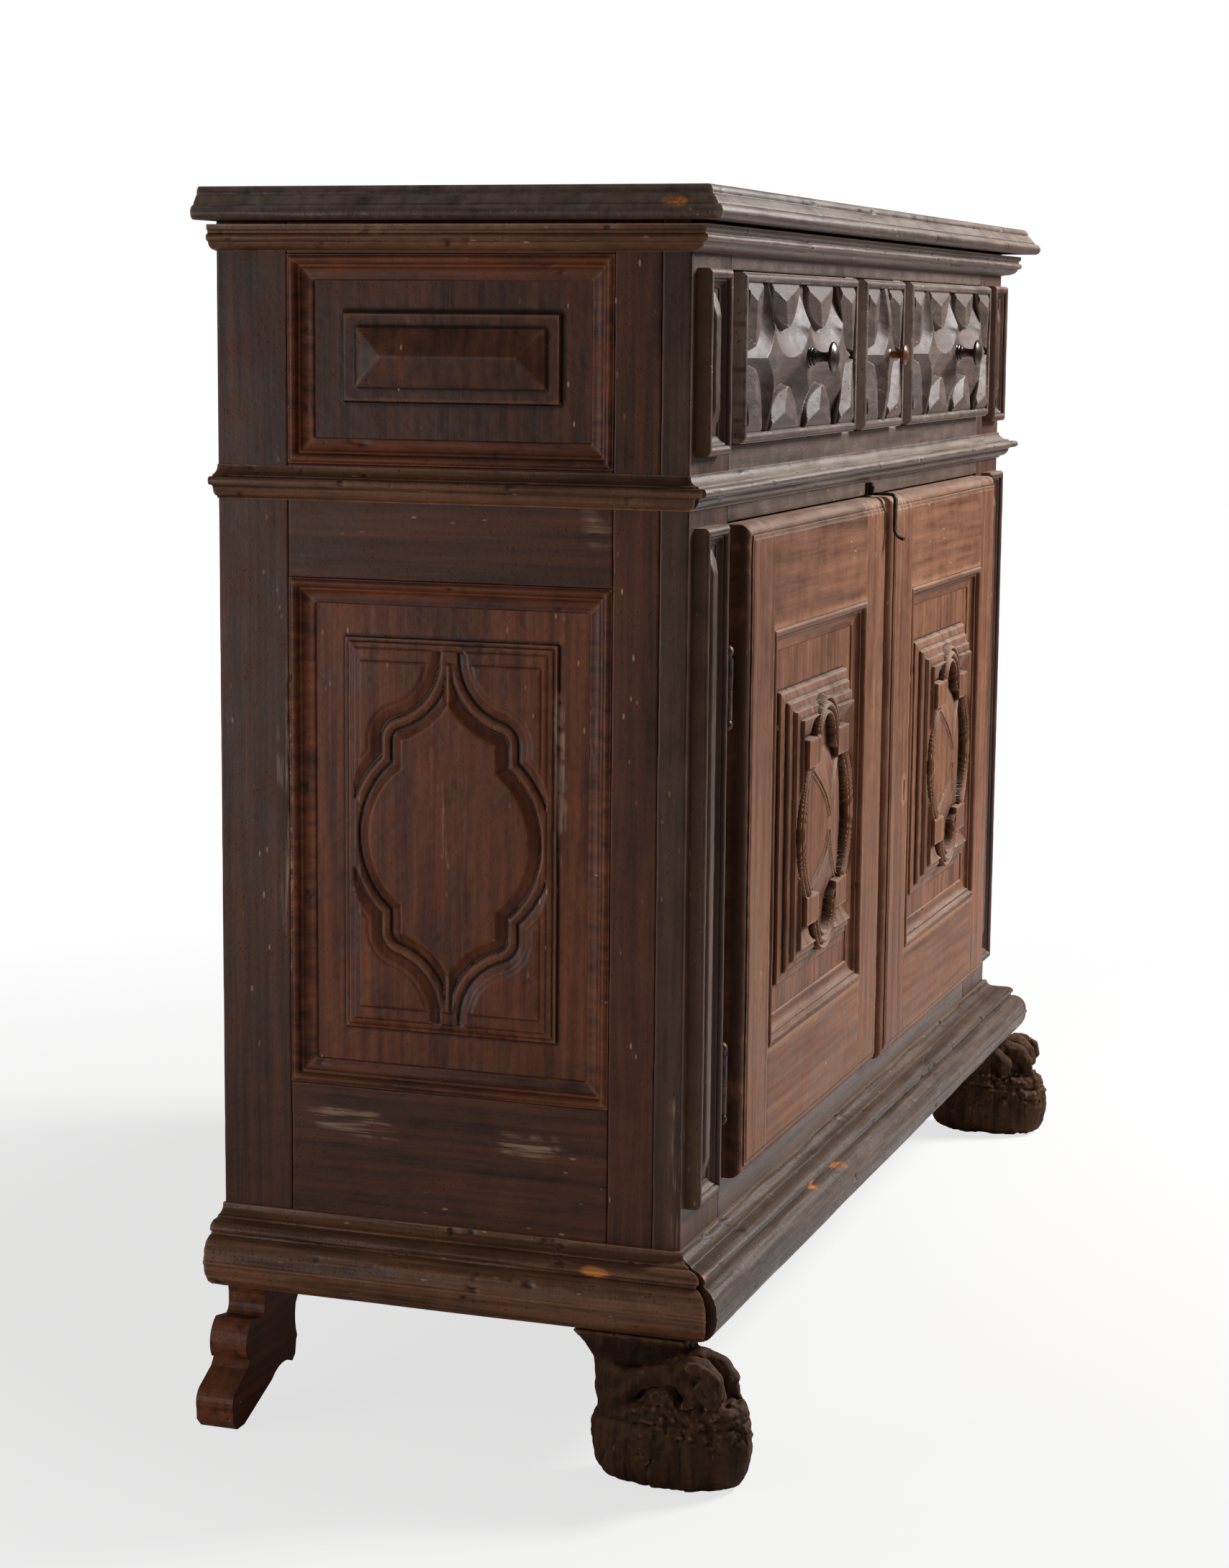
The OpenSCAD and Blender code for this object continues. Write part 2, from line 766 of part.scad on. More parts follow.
// The right-hand door's frame as one slab with three moulded edges
module door_slab(t) {
    back = front_y + door_t - door_proud;
    edge = door_edge(t);
    n = len(edge);
    intersection() {
        translate([0, 0, door_lo]) linear_extrude(door_hi - door_lo)
            polygon(concat(
                [[door_x0, back], [door_x0, back - t]],
                [for (i = [n - 1 : -1 : 0]) [door_x1 - edge[i][0], back - edge[i][1]]]
            ));
        translate([door_x0, 0, 0]) rotate([90, 0, 90]) linear_extrude(door_x1 - door_x0)
            polygon(concat(
                [for (p = edge) [back - p[1], door_lo + p[0]]],
                [for (i = [n - 1 : -1 : 0]) [back - edge[i][1], door_hi - edge[i][0]]]
            ));
    }
}

// Slots in the door's edge for the hinge leaves
module door_slots() {
    y = front_y - pin_front;
    for (z = [hinge_z_low, hinge_z_high])
        block([door_x1 - leaf_in, y - leaf_t / 2 - 0.1, z + knuckle_l + knuckle_gap - 0.1],
            [door_x1 + 1, y + leaf_t / 2 + 0.1, z + 2 * knuckle_l + knuckle_gap + 0.1]);
}

module door_part(t, x0, x1, z0, z1) {
    intersection() {
        door_slab(t);
        block([x0, front_y - 60, z0], [x1, front_y + 60, z1]);
    }
}

module door_frame(t) {
    difference() {
        door_part(t, recess_x1, door_x1 + 1, door_lo, door_hi);
        door_slots();
    }
    door_part(t, door_x0, recess_x0, door_lo, door_hi);
    door_part(t, recess_x0 + seam, recess_x1 - seam, recess_z1, door_hi);
    door_part(t, recess_x0 + seam, recess_x1 - seam, door_lo, recess_z0);
}

// Slot in the left door's top for the hook's plate
module plate_slot() {
    block([hook_x - hook_w - 0.1, front_y - 2.4, door_hi - 12.1], [hook_x + hook_w + 0.1, front_y - 0.4, door_hi + 1]);
}

module door_frame_left() {
    color(door_wood) difference() {
        mirror([1, 0, 0]) door_frame(door_t);
        plate_slot();
    }
}

module door_frame_right() {
    color(door_wood) difference() {
        door_frame(door_t + door_step);
        block([key_in - key_w / 2, front_y - 60, lock_z - key_h / 2],
            [key_in + key_w / 2, front_y + 60, lock_z + key_h / 2]);
    }
}

module door_moulding(step) {
    a = recess_x1 - recess_x0;
    b = recess_z1 - recess_z0;
    translate([recess_cx, front_y - door_proud - step + recess_d, recess_cz]) rotate([90, 0, 0])
        mitred_frame(falling(recess_w, recess_d), a, b, recess_w);
}

module door_moulding_left() {
    color(door_wood) mirror([1, 0, 0]) door_moulding(0);
}

module door_moulding_right() {
    color(door_wood) door_moulding(door_step);
}

// Outline of the carved strapwork ring about its centre, drawn in by g: a disc cut level above
// and below, a square with ears at the four shoulders, and an arch at either end
module ring_outline(g) {
    r = ring_r - g;
    level = 13;
    ear_x = 33;
    ear_z = 22;
    intersection() {
        circle(r);
        square([2 * r, 2 * (r - level)], center = true);
    }
    for (s = [-1, 1]) translate([0, s * arch_z]) circle(arch_r - g);
    square([2 * (r - ear_x), 2 * (r - ear_z)], center = true);
}

// The carved panel: board, stepped field, strapwork ring and a four-sided diamond point
module door_panel(step) {
    ground = front_y - door_proud - step + recess_d;
    border = 15;
    rise = 4;
    field_top = 7;
    ring_h = 6;
    boss_h = 12;
    boss_x = ring_r - ring_w + 2;
    boss_z = boss_x + border;
    block([recess_x0, ground, recess_z0], [recess_x1, ground + panel_t, recess_z1]);
    translate([recess_cx, ground, recess_cz - 2]) rotate([90, 0, 0]) {
        translate([-field_w / 2, -field_h / 2, -bed]) cube([field_w, field_h, rise + bed]);
        translate([-field_w / 2 + border, -field_h / 2 + border, 0])
            cube([field_w - 2 * border, field_h - 2 * border, field_top]);
        translate([0, 0, field_top - bed]) linear_extrude(ring_h + bed) difference() {
            ring_outline(0);
            ring_outline(ring_w);
        }
        translate([0, 0, field_top]) intersection() {
            translate([0, 0, -bed]) linear_extrude(boss_h + 2 * bed) ring_outline(ring_w + 2);
            translate([0, boss_z, 0]) rotate([90, 0, 0]) linear_extrude(2 * boss_z)
                polygon([[-boss_x, -bed], [boss_x, -bed], [boss_x, 1], [0, boss_h], [-boss_x, 1]]);
            translate([-boss_x, 0, 0]) rotate([90, 0, 90]) linear_extrude(2 * boss_x)
                polygon([[-boss_z, -bed], [boss_z, -bed], [boss_z, 1], [0, boss_h], [-boss_z, 1]]);
        }
    }
}

module door_panel_left() {
    color(door_wood) mirror([1, 0, 0]) door_panel(0);
}

module door_panel_right() {
    color(door_wood) door_panel(door_step);
}

lock_y = front_y + door_t - door_proud;
bolt_gap = 0.4;

module lock_case() {
    y1 = lock_y + lock_plate_t;
    y2 = y1 + bolt_t + 2 * bolt_gap;
    half = bolt_h / 2 + bolt_gap;
    top = half + lock_side;
    color(iron) {
        difference() {
            block([lock_edge, lock_y, lock_z - top], [lock_edge + lock_l, y1, lock_z + top]);
            block([key_in - key_w / 2, lock_y - 1, lock_z - key_h / 2],
                [key_in + key_w / 2, y1 + 1, lock_z + key_h / 2]);
        }
        for (s = [0, 1]) mirror([0, 0, s]) translate([0, 0, s ? -2 * lock_z : 0])
            block([lock_edge, y1 + seam, lock_z + half], [lock_edge + lock_l, y2, lock_z + top]);
        block([lock_edge, y2 + seam, lock_z - top], [lock_edge + lock_l, y2 + 2, lock_z + top]);
    }
}

module lock_bolt() {
    y1 = lock_y + lock_plate_t + bolt_gap;
    color(iron) block([lock_edge, y1, lock_z - bolt_h / 2], [lock_edge + 52, y1 + bolt_t, lock_z + bolt_h / 2]);
}

// The plate in the left door's top that carries the hook's pin
module hook_plate() {
    y1 = front_y - 0.5;
    color(iron) {
        block([hook_x - hook_w, y1 - 1.8, door_hi - 12], [hook_x + hook_w, y1, hook_pin_z + 6]);
        translate([hook_x, y1 - 1.8, hook_pin_z]) rotate([90, 0, 0]) cylinder(r = 1.6, h = 4.4);
        translate([hook_x, y1 - 1.8 - 3.2, hook_pin_z]) rotate([90, 0, 0]) cylinder(r = 3, h = 1.2);
    }
}

// The hook: an eye on the pin, a strap over the door's edge and down in front of it, and a curled tip
module hook() {
    y0 = front_y - hook_back;
    low = hook_pin_z - 6;
    face = front_y - door_proud - 6;
    color(iron) difference() {
        translate([hook_x - hook_w / 2, 0, 0]) rotate([90, 0, 90]) linear_extrude(hook_w)
            polygon(concat(
                [[y0, hook_pin_z + 6], [y0 - hook_t, hook_pin_z + 6], [y0 - hook_t, low + hook_t]],
                arc(face + 3, low - 6 + hook_t, 6, 90, 180, 5),
                [[face - 3, hook_pin_z - hook_l + 14]],
                arc(face - 13, hook_pin_z - hook_l + 14, 10, 0, -80, 5),
                arc(face - 13, hook_pin_z - hook_l + 14, 10 + hook_t, -80, 0, 5),
                arc(face + 3, low - 6 + hook_t, 6 - hook_t, 180, 90, 5),
                [[y0, low]]
            ));
        translate([hook_x, y0 + 1, hook_pin_z]) rotate([90, 0, 0]) cylinder(r = 1.6 + pin_gap, h = hook_t + 2);
    }
}

// A drawer front between two edges, with a straight wall and a rolled edge on all four sides
module drawer_front(x0, x1) {
    r = drawer_roll;
    t = drawer_front_t;
    back = front_y - drawer_proud + t;
    roll = concat([[0, 0], [0, t - r]], arc(r, t - r, r, 180, 90, 6));
    n = len(roll);
    intersection() {
        translate([0, 0, drawer_lo]) linear_extrude(drawer_hi - drawer_lo)
            polygon(concat(
                [for (p = roll) [x0 + p[0], back - p[1]]],
                [for (i = [n - 1 : -1 : 0]) [x1 - roll[i][0], back - roll[i][1]]]
            ));
        translate([x0, 0, 0]) rotate([90, 0, 90]) linear_extrude(x1 - x0)
            polygon(concat(
                [for (p = roll) [back - p[1], drawer_lo + p[0]]],
                [for (i = [n - 1 : -1 : 0]) [back - roll[i][1], drawer_hi - roll[i][0]]]
            ));
    }
}

// A drawer's box behind its front: two sides, a back and a bottom
module drawer_box(x0, x1) {
    y0 = front_y - drawer_proud + drawer_front_t;
    y1 = inner_y - drawer_back_gap;
    w = drawer_wall;
    z0 = drawer_z0;
    z1 = drawer_z0 + drawer_side_h;
    xa = x0 + w + seam;
    xb = x1 - w - seam;
    block([x0, y0, z0], [x0 + w, y1, z1]);
    block([x1 - w, y0, z0], [x1, y1, z1]);
    block([xa, y1 - w, z0 + 6], [xb, y1, z1 - 6]);
    block([xa, y0, z0 + 6], [xb, y1 - w - seam, z0 + 6 + w / 2]);
}

// A turned knob with a ringed stem and a domed disc, standing on a drawer front at x
module drawer_knob(x) {
    r = knob_d / 2;
    l = knob_l;
    translate([x, front_y - drawer_proud, (drawer_lo + drawer_hi) / 2]) rotate([90, 0, 0]) rotate_extrude()
        polygon(concat(
            [[0, 0], [7, 0], [7, 1.5], [4.5, 3], [4, 5]],
            arc(4, 8, 2.2, -60, 60, 4),
            [[4, 11], [4.6, l - 12], [6.5, l - 10]],
            arc(r - 2, l - 8, 2, -60, 60, 4),
            [[r - 3, l - 4], [5, l - 0.8], [3, l], [0, l]]
        ));
}

left_x = [-open_x + drawer_gap, -side_drawer_x0 - drawer_gap];
mid_x = [-centre_x + drawer_gap, centre_x - drawer_gap];
right_x = [side_drawer_x0 + drawer_gap, open_x - drawer_gap];
function middle(pair) = (pair[0] + pair[1]) / 2;

module drawer_front_left() {
    color(front_wood) drawer_front(left_x[0], left_x[1]);
}

module drawer_box_left() {
    color(inside_wood) drawer_box(left_x[0], left_x[1]);
}

module drawer_knob_left() {
    color(paw_wood) drawer_knob(middle(left_x));
}

module drawer_front_centre() {
    color(front_wood) drawer_front(mid_x[0], mid_x[1]);
}

module drawer_box_centre() {
    color(inside_wood) drawer_box(mid_x[0], mid_x[1]);
}

module drawer_knob_centre() {
    color(front_wood) drawer_knob(middle(mid_x));
}

module drawer_front_right() {
    color(front_wood) drawer_front(right_x[0], right_x[1]);
}

module drawer_box_right() {
    color(inside_wood) drawer_box(right_x[0], right_x[1]);
}

module drawer_knob_right() {
    color(paw_wood) drawer_knob(middle(right_x));
}

// A rear foot: a shaped bracket with a round bulge and a flared foot, cut from one plank.
// Its outline is [out from the carcass side, height].
module rear_foot() {
    h = foot_h;
    color(dark_wood) translate([side_x, rear_y, 0]) rotate([90, 0, 0]) linear_extrude(rear_foot_t)
        polygon(concat(
            [[-2, h], [-5, h - 14], [-5, 93]],
            arc(5, 92, 10, 180, 240, 3),
            arc(8, 66, 24, 60, -30, 8),
            [[24, 54], [30, 46]],
            arc(44, 22, 15, 70, -20, 6),
            [[58, 8], [50, 0], [36, 0]],
            arc(-42, -6, 36, 50, 120, 6),
            [[-66, 30], [-68, 42]],
            arc(-110, 64, 44, -25, 15, 4),
            [[-74, 84], [-95, 98], [-95, h]]
        ));
}

module rear_foot_right() {
    rear_foot();
}

module rear_foot_left() {
    mirror([1, 0, 0]) rear_foot();
}

// One toe of a paw: three round knuckles, [out, back, height], from root to claw
module toe(root, knuckle, claw, r) {
    hull() {
        translate(root) sphere(r = r, $fn = 16);
        translate(knuckle) sphere(r = r, $fn = 16);
    }
    hull() {
        translate(knuckle) sphere(r = r, $fn = 16);
        translate(claw) sphere(r = r - 2, $fn = 16);
    }
}

// A lion's paw that faces forward: a pad, a neck under the base moulding, two toes in front
// and one at each side. Its own axes run out from the carcass side and back from its front.
module paw() {
    mid = paw_out - paw_w / 2;
    toe_r = 13;
    front = -paw_front + toe_r;
    pad_r = 22;
    color(paw_wood) translate([side_x, front_y, 0]) {
        hull() {
            translate([mid, 20, 0]) cylinder(r = paw_w / 2 - 2, h = foot_h - 55, $fn = 32);
            for (s = [-1, 1])
                translate([mid + s * (paw_w / 2 - pad_r), -paw_front + pad_r, 0])
                    cylinder(r = pad_r, h = foot_h - 65, $fn = 32);
        }
        hull() {
            block([mid - paw_w / 2, -30, foot_h - 10], [mid + paw_w / 2 - 8, 76, foot_h]);
            translate([mid, 24, foot_h - 65]) cylinder(r = paw_w / 2 - 6, h = 10, $fn = 32);
        }
        for (s = [-1, 1]) {
            side = s * (paw_w / 2 - toe_r);
            toe([mid + side - 3 * s, 18, foot_h - 41], [mid + side, -12, foot_h - 33],
                [mid + side, -30, foot_h - 46], toe_r);
            toe([mid + side / 2, -8, foot_h - 25], [mid + side / 2, front + 8, foot_h - 18],
                [mid + side / 2, front + 1, foot_h - 48], toe_r);
        }
    }
}

module paw_right() {
    paw();
}

module paw_left() {
    mirror([1, 0, 0]) paw();
}

translate([0, centre_shift, 0]) {
    top_board();
    cornice_front();
    cornice_sides();
    waist_front();
    waist_sides();
    base_front();
    base_sides();
    front_stile_left();
    front_stile_right();
    front_top_rail();
    front_waist_rail();
    front_base_rail();
    drawer_dividers();
    side_frame_left();
    side_frame_right();
    side_upper_panel_left();
    side_upper_panel_right();
    side_lower_panel_left();
    side_lower_panel_right();
    side_mouldings_left();
    side_mouldings_right();
    back_boards();
    bottom_board();
    shelf();
    shelf_cleats();
    drawer_runners();
    pilaster_upper_left();
    pilaster_upper_right();
    pilaster_lower_left();
    pilaster_lower_right();
    hinge_pins();
    paw_left();
    paw_right();
    rear_foot_left();
    rear_foot_right();
    drawer_front_left();
    drawer_box_left();
    drawer_knob_left();
    drawer_front_centre();
    drawer_box_centre();
    drawer_knob_centre();
    drawer_front_right();
    drawer_box_right();
    drawer_knob_right();
    door_frame_left();
    door_moulding_left();
    door_panel_left();
    door_hinges_left();
    door_frame_right();
    door_moulding_right();
    door_panel_right();
    door_hinges_right();
    lock_case();
    lock_bolt();
    hook_plate();
    hook();
}
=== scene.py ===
"""A carved walnut credenza dressed for a studio picture. The piece functions work in millimetres from the
middle of the carcass's plan, x across, y back and z up; piece() turns points into metres in the frame."""
import json
import math

import bmesh
import bpy
import numpy as np
from mathutils import Matrix, Vector


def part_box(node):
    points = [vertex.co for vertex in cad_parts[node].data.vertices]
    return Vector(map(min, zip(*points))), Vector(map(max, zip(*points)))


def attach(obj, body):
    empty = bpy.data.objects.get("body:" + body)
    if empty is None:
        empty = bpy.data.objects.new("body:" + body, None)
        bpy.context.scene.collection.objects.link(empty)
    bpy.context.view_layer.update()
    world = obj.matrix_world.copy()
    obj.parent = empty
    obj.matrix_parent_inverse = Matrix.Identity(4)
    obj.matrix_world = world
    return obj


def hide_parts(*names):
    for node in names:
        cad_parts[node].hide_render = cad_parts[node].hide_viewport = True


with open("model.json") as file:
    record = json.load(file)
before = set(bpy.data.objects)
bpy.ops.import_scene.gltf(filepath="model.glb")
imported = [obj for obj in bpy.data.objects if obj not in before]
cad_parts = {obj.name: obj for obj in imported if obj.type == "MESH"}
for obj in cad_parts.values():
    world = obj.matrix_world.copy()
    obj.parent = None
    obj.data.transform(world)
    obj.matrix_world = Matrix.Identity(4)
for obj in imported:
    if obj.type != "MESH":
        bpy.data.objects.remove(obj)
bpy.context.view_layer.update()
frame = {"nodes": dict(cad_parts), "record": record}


def middle(low, high):
    """Half way between two values."""
    return (low + high) / 2


SHIFT = round(1000 * middle(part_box("front_stile_left")[0].y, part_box("side_frame_left")[1].y), 1)


def span(node):
    """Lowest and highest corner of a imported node, in millimetres from the middle of the carcass's plan."""
    return [[round(1000 * c - s, 1) for c, s in zip(corner, (0, SHIFT, 0))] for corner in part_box(node)]


def upright(node):
    """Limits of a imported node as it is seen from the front: x0, x1, z0, z1."""
    low, high = span(node)
    return low[0], high[0], low[2], high[2]


(_, FACE, BASE_Z), (_, RAIL_BACK, TOP_Z) = span("front_stile_left")
OPEN_X, SIDE = upright("front_stile_right")[:2]
REAR = span("side_frame_left")[1][1]
PANEL_Y = span("side_upper_panel_left")[1][1]
PANEL_GROUND = span("side_mouldings_right")[0][0]
DOOR = upright("door_frame_right")
RECESS = upright("door_panel_right")
SEAM = 0.1
SLACK = 0.2
ROLL = 7
SIDES = (("left", -1), ("right", 1))


def tone(r, g, b):
    """A colour given from 0 to 255 as a screen shows it, in linear light."""
    return tuple((c / 255) ** 2.2 for c in (r, g, b)) + (1.0,)


def noise(points, size, seed=0):
    """Value noise from -1 to 1: a hashed number at each corner of a cubic lattice, blended by 3f2 - 2f3."""
    q = np.asarray(points, float) / size + 17.31 * seed
    cell = np.floor(q).astype(np.int64)
    f = q - cell
    f = f * f * (3 - 2 * f)
    total = np.zeros(q.shape[:-1])
    for corner in np.ndindex(2, 2, 2):
        c = cell + np.array(corner)
        h = c[..., 0] * 374761393 + c[..., 1] * 668265263 + c[..., 2] * 982451653 + seed * 97463
        h = (h ^ (h >> 13)) * 1274126177
        h = (h ^ (h >> 16)) & 0xFFFFFF
        total += np.prod(np.where(np.array(corner) == 1, f, 1 - f), axis=-1) * (h / 8388607.5 - 1)
    return total


def layered(points, size, seed=0):
    """Three noises added, each half as large and half as strong as the one before."""
    parts = [noise(points, size / 2 ** k, seed + k) / 2 ** k for k in range(3)]
    return (parts[0] + parts[1] + parts[2]) / 1.4


def step(value, low, high):
    """0 below low, 1 above high and a smooth rise between."""
    t = np.clip((value - low) / (high - low), 0, 1)
    return t * t * (3 - 2 * t)


def lines(low, high, pitch, stops=()):
    """Grid lines from low to high, at most a pitch apart, with a line at each stop."""
    knots = sorted({low, high, *[s for s in stops if low < s < high]})
    parts = [np.linspace(a, b, max(1, math.ceil((b - a) / pitch)) + 1)[:-1] for a, b in zip(knots, knots[1:])]
    return np.append(np.concatenate(parts), high)


def grid_faces(nu, nv):
    """Corner numbers of the faces of a grid of nu by nv points."""
    n = np.arange(nu * nv).reshape(nu, nv)
    return np.stack([n[:-1, :-1], n[1:, :-1], n[1:, 1:], n[:-1, 1:]], -1).reshape(-1, 4)


def arc(cx, cz, r, first, last):
    """Ten points on a circle about (cx, cz) from the first angle to the last, in degrees."""
    angles = [math.radians(a) for a in np.linspace(first, last, 10)]
    return [(cx + r * math.cos(a), cz + r * math.sin(a)) for a in angles]


def quarter(kind, x0, z0, x1, z1, n=9):
    """A quarter of an ellipse from (x0, z0) down to (x1, z1): hollow, over (rounds outwards) or under."""
    points = []
    for a in np.linspace(0, math.pi / 2, n):
        c, s = math.cos(a), math.sin(a)
        if kind == "hollow":
            points.append((x1 - (x1 - x0) * c, z0 - (z0 - z1) * s))
        elif kind == "over":
            points.append((x0 + (x1 - x0) * s, z1 + (z0 - z1) * c))
        else:
            points.append((x1 + (x0 - x1) * c, z0 - (z0 - z1) * s))
    return points


def softened(points, r, pitch=2.5):
    """Each corner of an open line cut by a small curve of reach r, then the line divided by the pitch."""
    points = [np.array(p, float) for p in points]
    line = [points[0]]
    for a, b, c in zip(points, points[1:], points[2:]):
        la, lc = np.linalg.norm(a - b) + 1e-9, np.linalg.norm(c - b) + 1e-9
        p = b + (a - b) * min(r / la, 0.4)
        q = b + (c - b) * min(r / lc, 0.4)
        line += [p, 0.25 * p + 0.5 * b + 0.25 * q, q]
    line.append(points[-1])
    fine = [line[0]]
    for a, b in zip(line, line[1:]):
        n = max(1, math.ceil(np.linalg.norm(b - a) / pitch))
        fine += [a + (b - a) * k / n for k in range(1, n + 1)]
    return np.array(fine)


def distance(x, y, line):
    """Distance of each point (x, y) from a line given by its corners."""
    best = np.full(np.broadcast(x, y).shape, 1e9)
    for (ax, ay), (bx, by) in zip(line[:-1], line[1:]):
        dx, dy = bx - ax, by - ay
        t = np.clip(((x - ax) * dx + (y - ay) * dy) / (dx * dx + dy * dy + 1e-9), 0, 1)
        best = np.minimum(best, np.hypot(x - ax - t * dx, y - ay - t * dy))
    return best


def fetch(items, field, width, kind=np.float32):
    """One field of a mesh's points or edges as an array with a row for each."""
    rows = np.empty(len(items) * width, dtype=kind)
    items.foreach_get(field, rows)
    return rows.reshape(-1, width)


def store(mesh, key, values, kind="FLOAT", field="value"):
    """Values kept at the points of a mesh, for the materials."""
    layer = mesh.attributes.new(key, kind, "POINT")
    layer.data.foreach_set(field, values.astype(np.float32).ravel())


def marks(mesh, turns, depth):
    """Stores wear, how far each point stands above the mean of its surroundings, and cavity, how far below.
    The mean comes from averaging neighbours a number of turns, and depth is the height that counts as 1.
    Gives the points back in millimetres from the middle."""
    n = len(mesh.vertices)
    co = fetch(mesh.vertices, "co", 3).astype(float) * 1000
    normal = fetch(mesh.vertex_normals, "vector", 3)
    a, b = fetch(mesh.edges, "vertices", 2, np.int32).T
    count = np.bincount(np.concatenate([a, b]), minlength=n).clip(1)
    mean = co.copy()
    for _ in range(turns):
        for k in range(3):
            total = np.bincount(a, mean[b, k], n) + np.bincount(b, mean[a, k], n)
            mean[:, k] = 0.5 * mean[:, k] + 0.5 * total / count
    rise = ((co - mean) * normal).sum(1) / depth
    store(mesh, "wear", rise.clip(0, 1))
    store(mesh, "cavity", (-rise).clip(0, 1))
    return co - (0, SHIFT, 0)


def put(name, data):
    """A new object in the scene."""
    obj = bpy.data.objects.new(name, data)
    bpy.context.scene.collection.objects.link(obj)
    return obj


# Places on the carcass as (centre, reach along each axis), in millimetres
BARE = [((-598, -202, 1020), (15, 13, 5)), ((-600, -143, 166), (20, 17, 5)), ((-271, -232, 163), (12, 16, 6)),
        ((-188, -228, 158), (20, 16, 5)), ((-588, -242, 172), (8, 12, 8))]
# Pale streaks: the broad patches are scuffs, the tall thin upright streaks down the left side's moulding,
# panel step and front corner are painted highlights
SCUFFS_AND_HIGHLIGHTS = [((-565, 84, 262), (20, 46, 14)), ((-565, -68, 255), (20, 38, 12)), ((-565, 154, 305), (20, 14, 5)),
           ((-565, -128, 762), (20, 16, 12)), ((0, -226, 757), (110, 20, 12)), ((-560, 4, 520), (12, 6, 62)),
           ((-562, 142, 500), (12, 5, 170)), ((-565, -204, 250), (8, 8, 90)),
           ((-565, -96, 560), (14, 8, 130))]
# Painted shade: a dark strip down the left door's left edge and the stile beside it, and a dark patch under
# the base moulding over the left paw
PAINTED_SHADE = [((-459, -222, 490), (13, 30, 420)), ((-592, -180, 100), (30, 56, 13))]
made = []


def piece(name, points, faces, body, slot, covers, along, turns=4, depth=0.6, angle=50, look=None):
    """Makes the object from millimetre points and marks edges, hollows, bare patches and grain. It rides
    on its body in place of the nodes that it covers. Its look is its slot's unless another is named."""
    mesh = bpy.data.meshes.new(name)
    mesh.from_pydata(((np.asarray(points) + (0, SHIFT, 0)) / 1000).tolist(), [], faces)
    shell = bmesh.new()
    shell.from_mesh(mesh)
    bmesh.ops.recalc_face_normals(shell, faces=shell.faces[:])
    shell.to_mesh(mesh)
    shell.free()
    mesh.shade_smooth()
    mesh.set_sharp_from_angle(angle=math.radians(angle))
    co = marks(mesh, turns, depth)
    for key, spots in (("bare", BARE), ("scuff_and_highlight", SCUFFS_AND_HIGHLIGHTS), ("painted_shade", PAINTED_SHADE)):
        value = np.zeros(len(co))
        for centre, reach in spots:
            away = np.linalg.norm((co - centre) / reach, axis=1)
            if away.min() < 1.5:
                value = np.maximum(value, step(1 - away + 0.45 * layered(co, 9, 3), 0.05, 0.4))
        store(mesh, key, value)
    axis = np.broadcast_to(along, len(co))
    order = np.stack([axis, (axis + 1) % 3, (axis + 2) % 3], 1)
    grain = np.take_along_axis(co, order, 1) / 1000 + 0.37 * len(made)
    store(mesh, "grain", grain, "FLOAT_VECTOR", "vector")
    mesh.materials.append(materials[look or slot])
    obj = put(name, mesh)
    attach(obj, body)
    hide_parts(*covers)
    made.append(obj)


def join(parts):
    """Several (points, faces, grain axis) as one."""
    points, faces, axes, base = [], [], [], 0
    for p, f, a in parts:
        points.append(p)
        faces += [[i + base for i in face] for face in f]
        axes.append(np.broadcast_to(a, len(p)))
        base += len(p)
    return np.concatenate(points), faces, np.concatenate(axes)


def board(low, high, along=0, r=1.2, pitch=12, chips=1.0, seed=0):
    """A box with worn edges: each face is a grid with lines crowded at its borders, each point moves to the
    distance r from the box drawn in by r, less a chip worked out by noise near the edges."""
    low, high = np.array(low, float), np.array(high, float)
    ticks = []
    for a, b in zip(low, high):
        near = np.array([0, 0.4, 1, 2, 4]) * r
        near = near[near < (b - a) / 2 - 0.1]
        n = max(1, math.ceil((b - a - 2 * near[-1]) / pitch))
        between = np.linspace(a + near[-1], b - near[-1], n + 1)
        ticks.append(np.unique(np.concatenate([a + near, b - near, between]).round(4)))
    points, faces, base = [], [], 0
    for k in range(3):
        i, j = (k + 1) % 3, (k + 2) % 3
        u, v = np.meshgrid(ticks[i], ticks[j], indexing="ij")
        for end in (ticks[k][0], ticks[k][-1]):
            p = np.empty(u.shape + (3,))
            p[..., i], p[..., j], p[..., k] = u, v, end
            points.append(p.reshape(-1, 3))
            faces.append(grid_faces(*u.shape) + base)
            base += u.size
    points, faces = np.concatenate(points), np.concatenate(faces)
    microns = (points * 1000).round().astype(np.int64)
    _, first, back = np.unique(microns, axis=0, return_index=True, return_inverse=True)
    points, faces = points[first], back.ravel()[faces]
    core = np.clip(points, low + r, high - r)
    away = points - core
    away /= np.linalg.norm(away, axis=1, keepdims=True) + 1e-9
    corner = np.sort(np.abs(away), axis=1)[:, 1] > 0.05
    cut = chips * np.clip(layered(points, 22, seed) - 0.05, 0, 1) * np.where(corner, 1.0, 0.0)
    return core + away * (r - cut)[:, None], faces.tolist(), along


def tube_faces(n, m):
    """Point numbers of n closed rings of m points, and the faces between the rings."""
    k = np.arange(n * m).reshape(n, m)
    turned = np.roll(k, -1, 1)
    return k, np.stack([k[:-1], turned[:-1], turned[1:], k[1:]], -1).reshape(-1, 4).tolist()


def sweep(section, stations, place):
    """A closed section carried through the stations; place(s, out, up) gives the points of one of them."""
    section = np.asarray(section)
    rings = np.stack([place(s, section[:, 0], section[:, 1]) for s in stations])
    k, sides = tube_faces(*rings.shape[:2])
    return rings.reshape(-1, 3), sides + [k[0][::-1].tolist(), k[-1].tolist()]


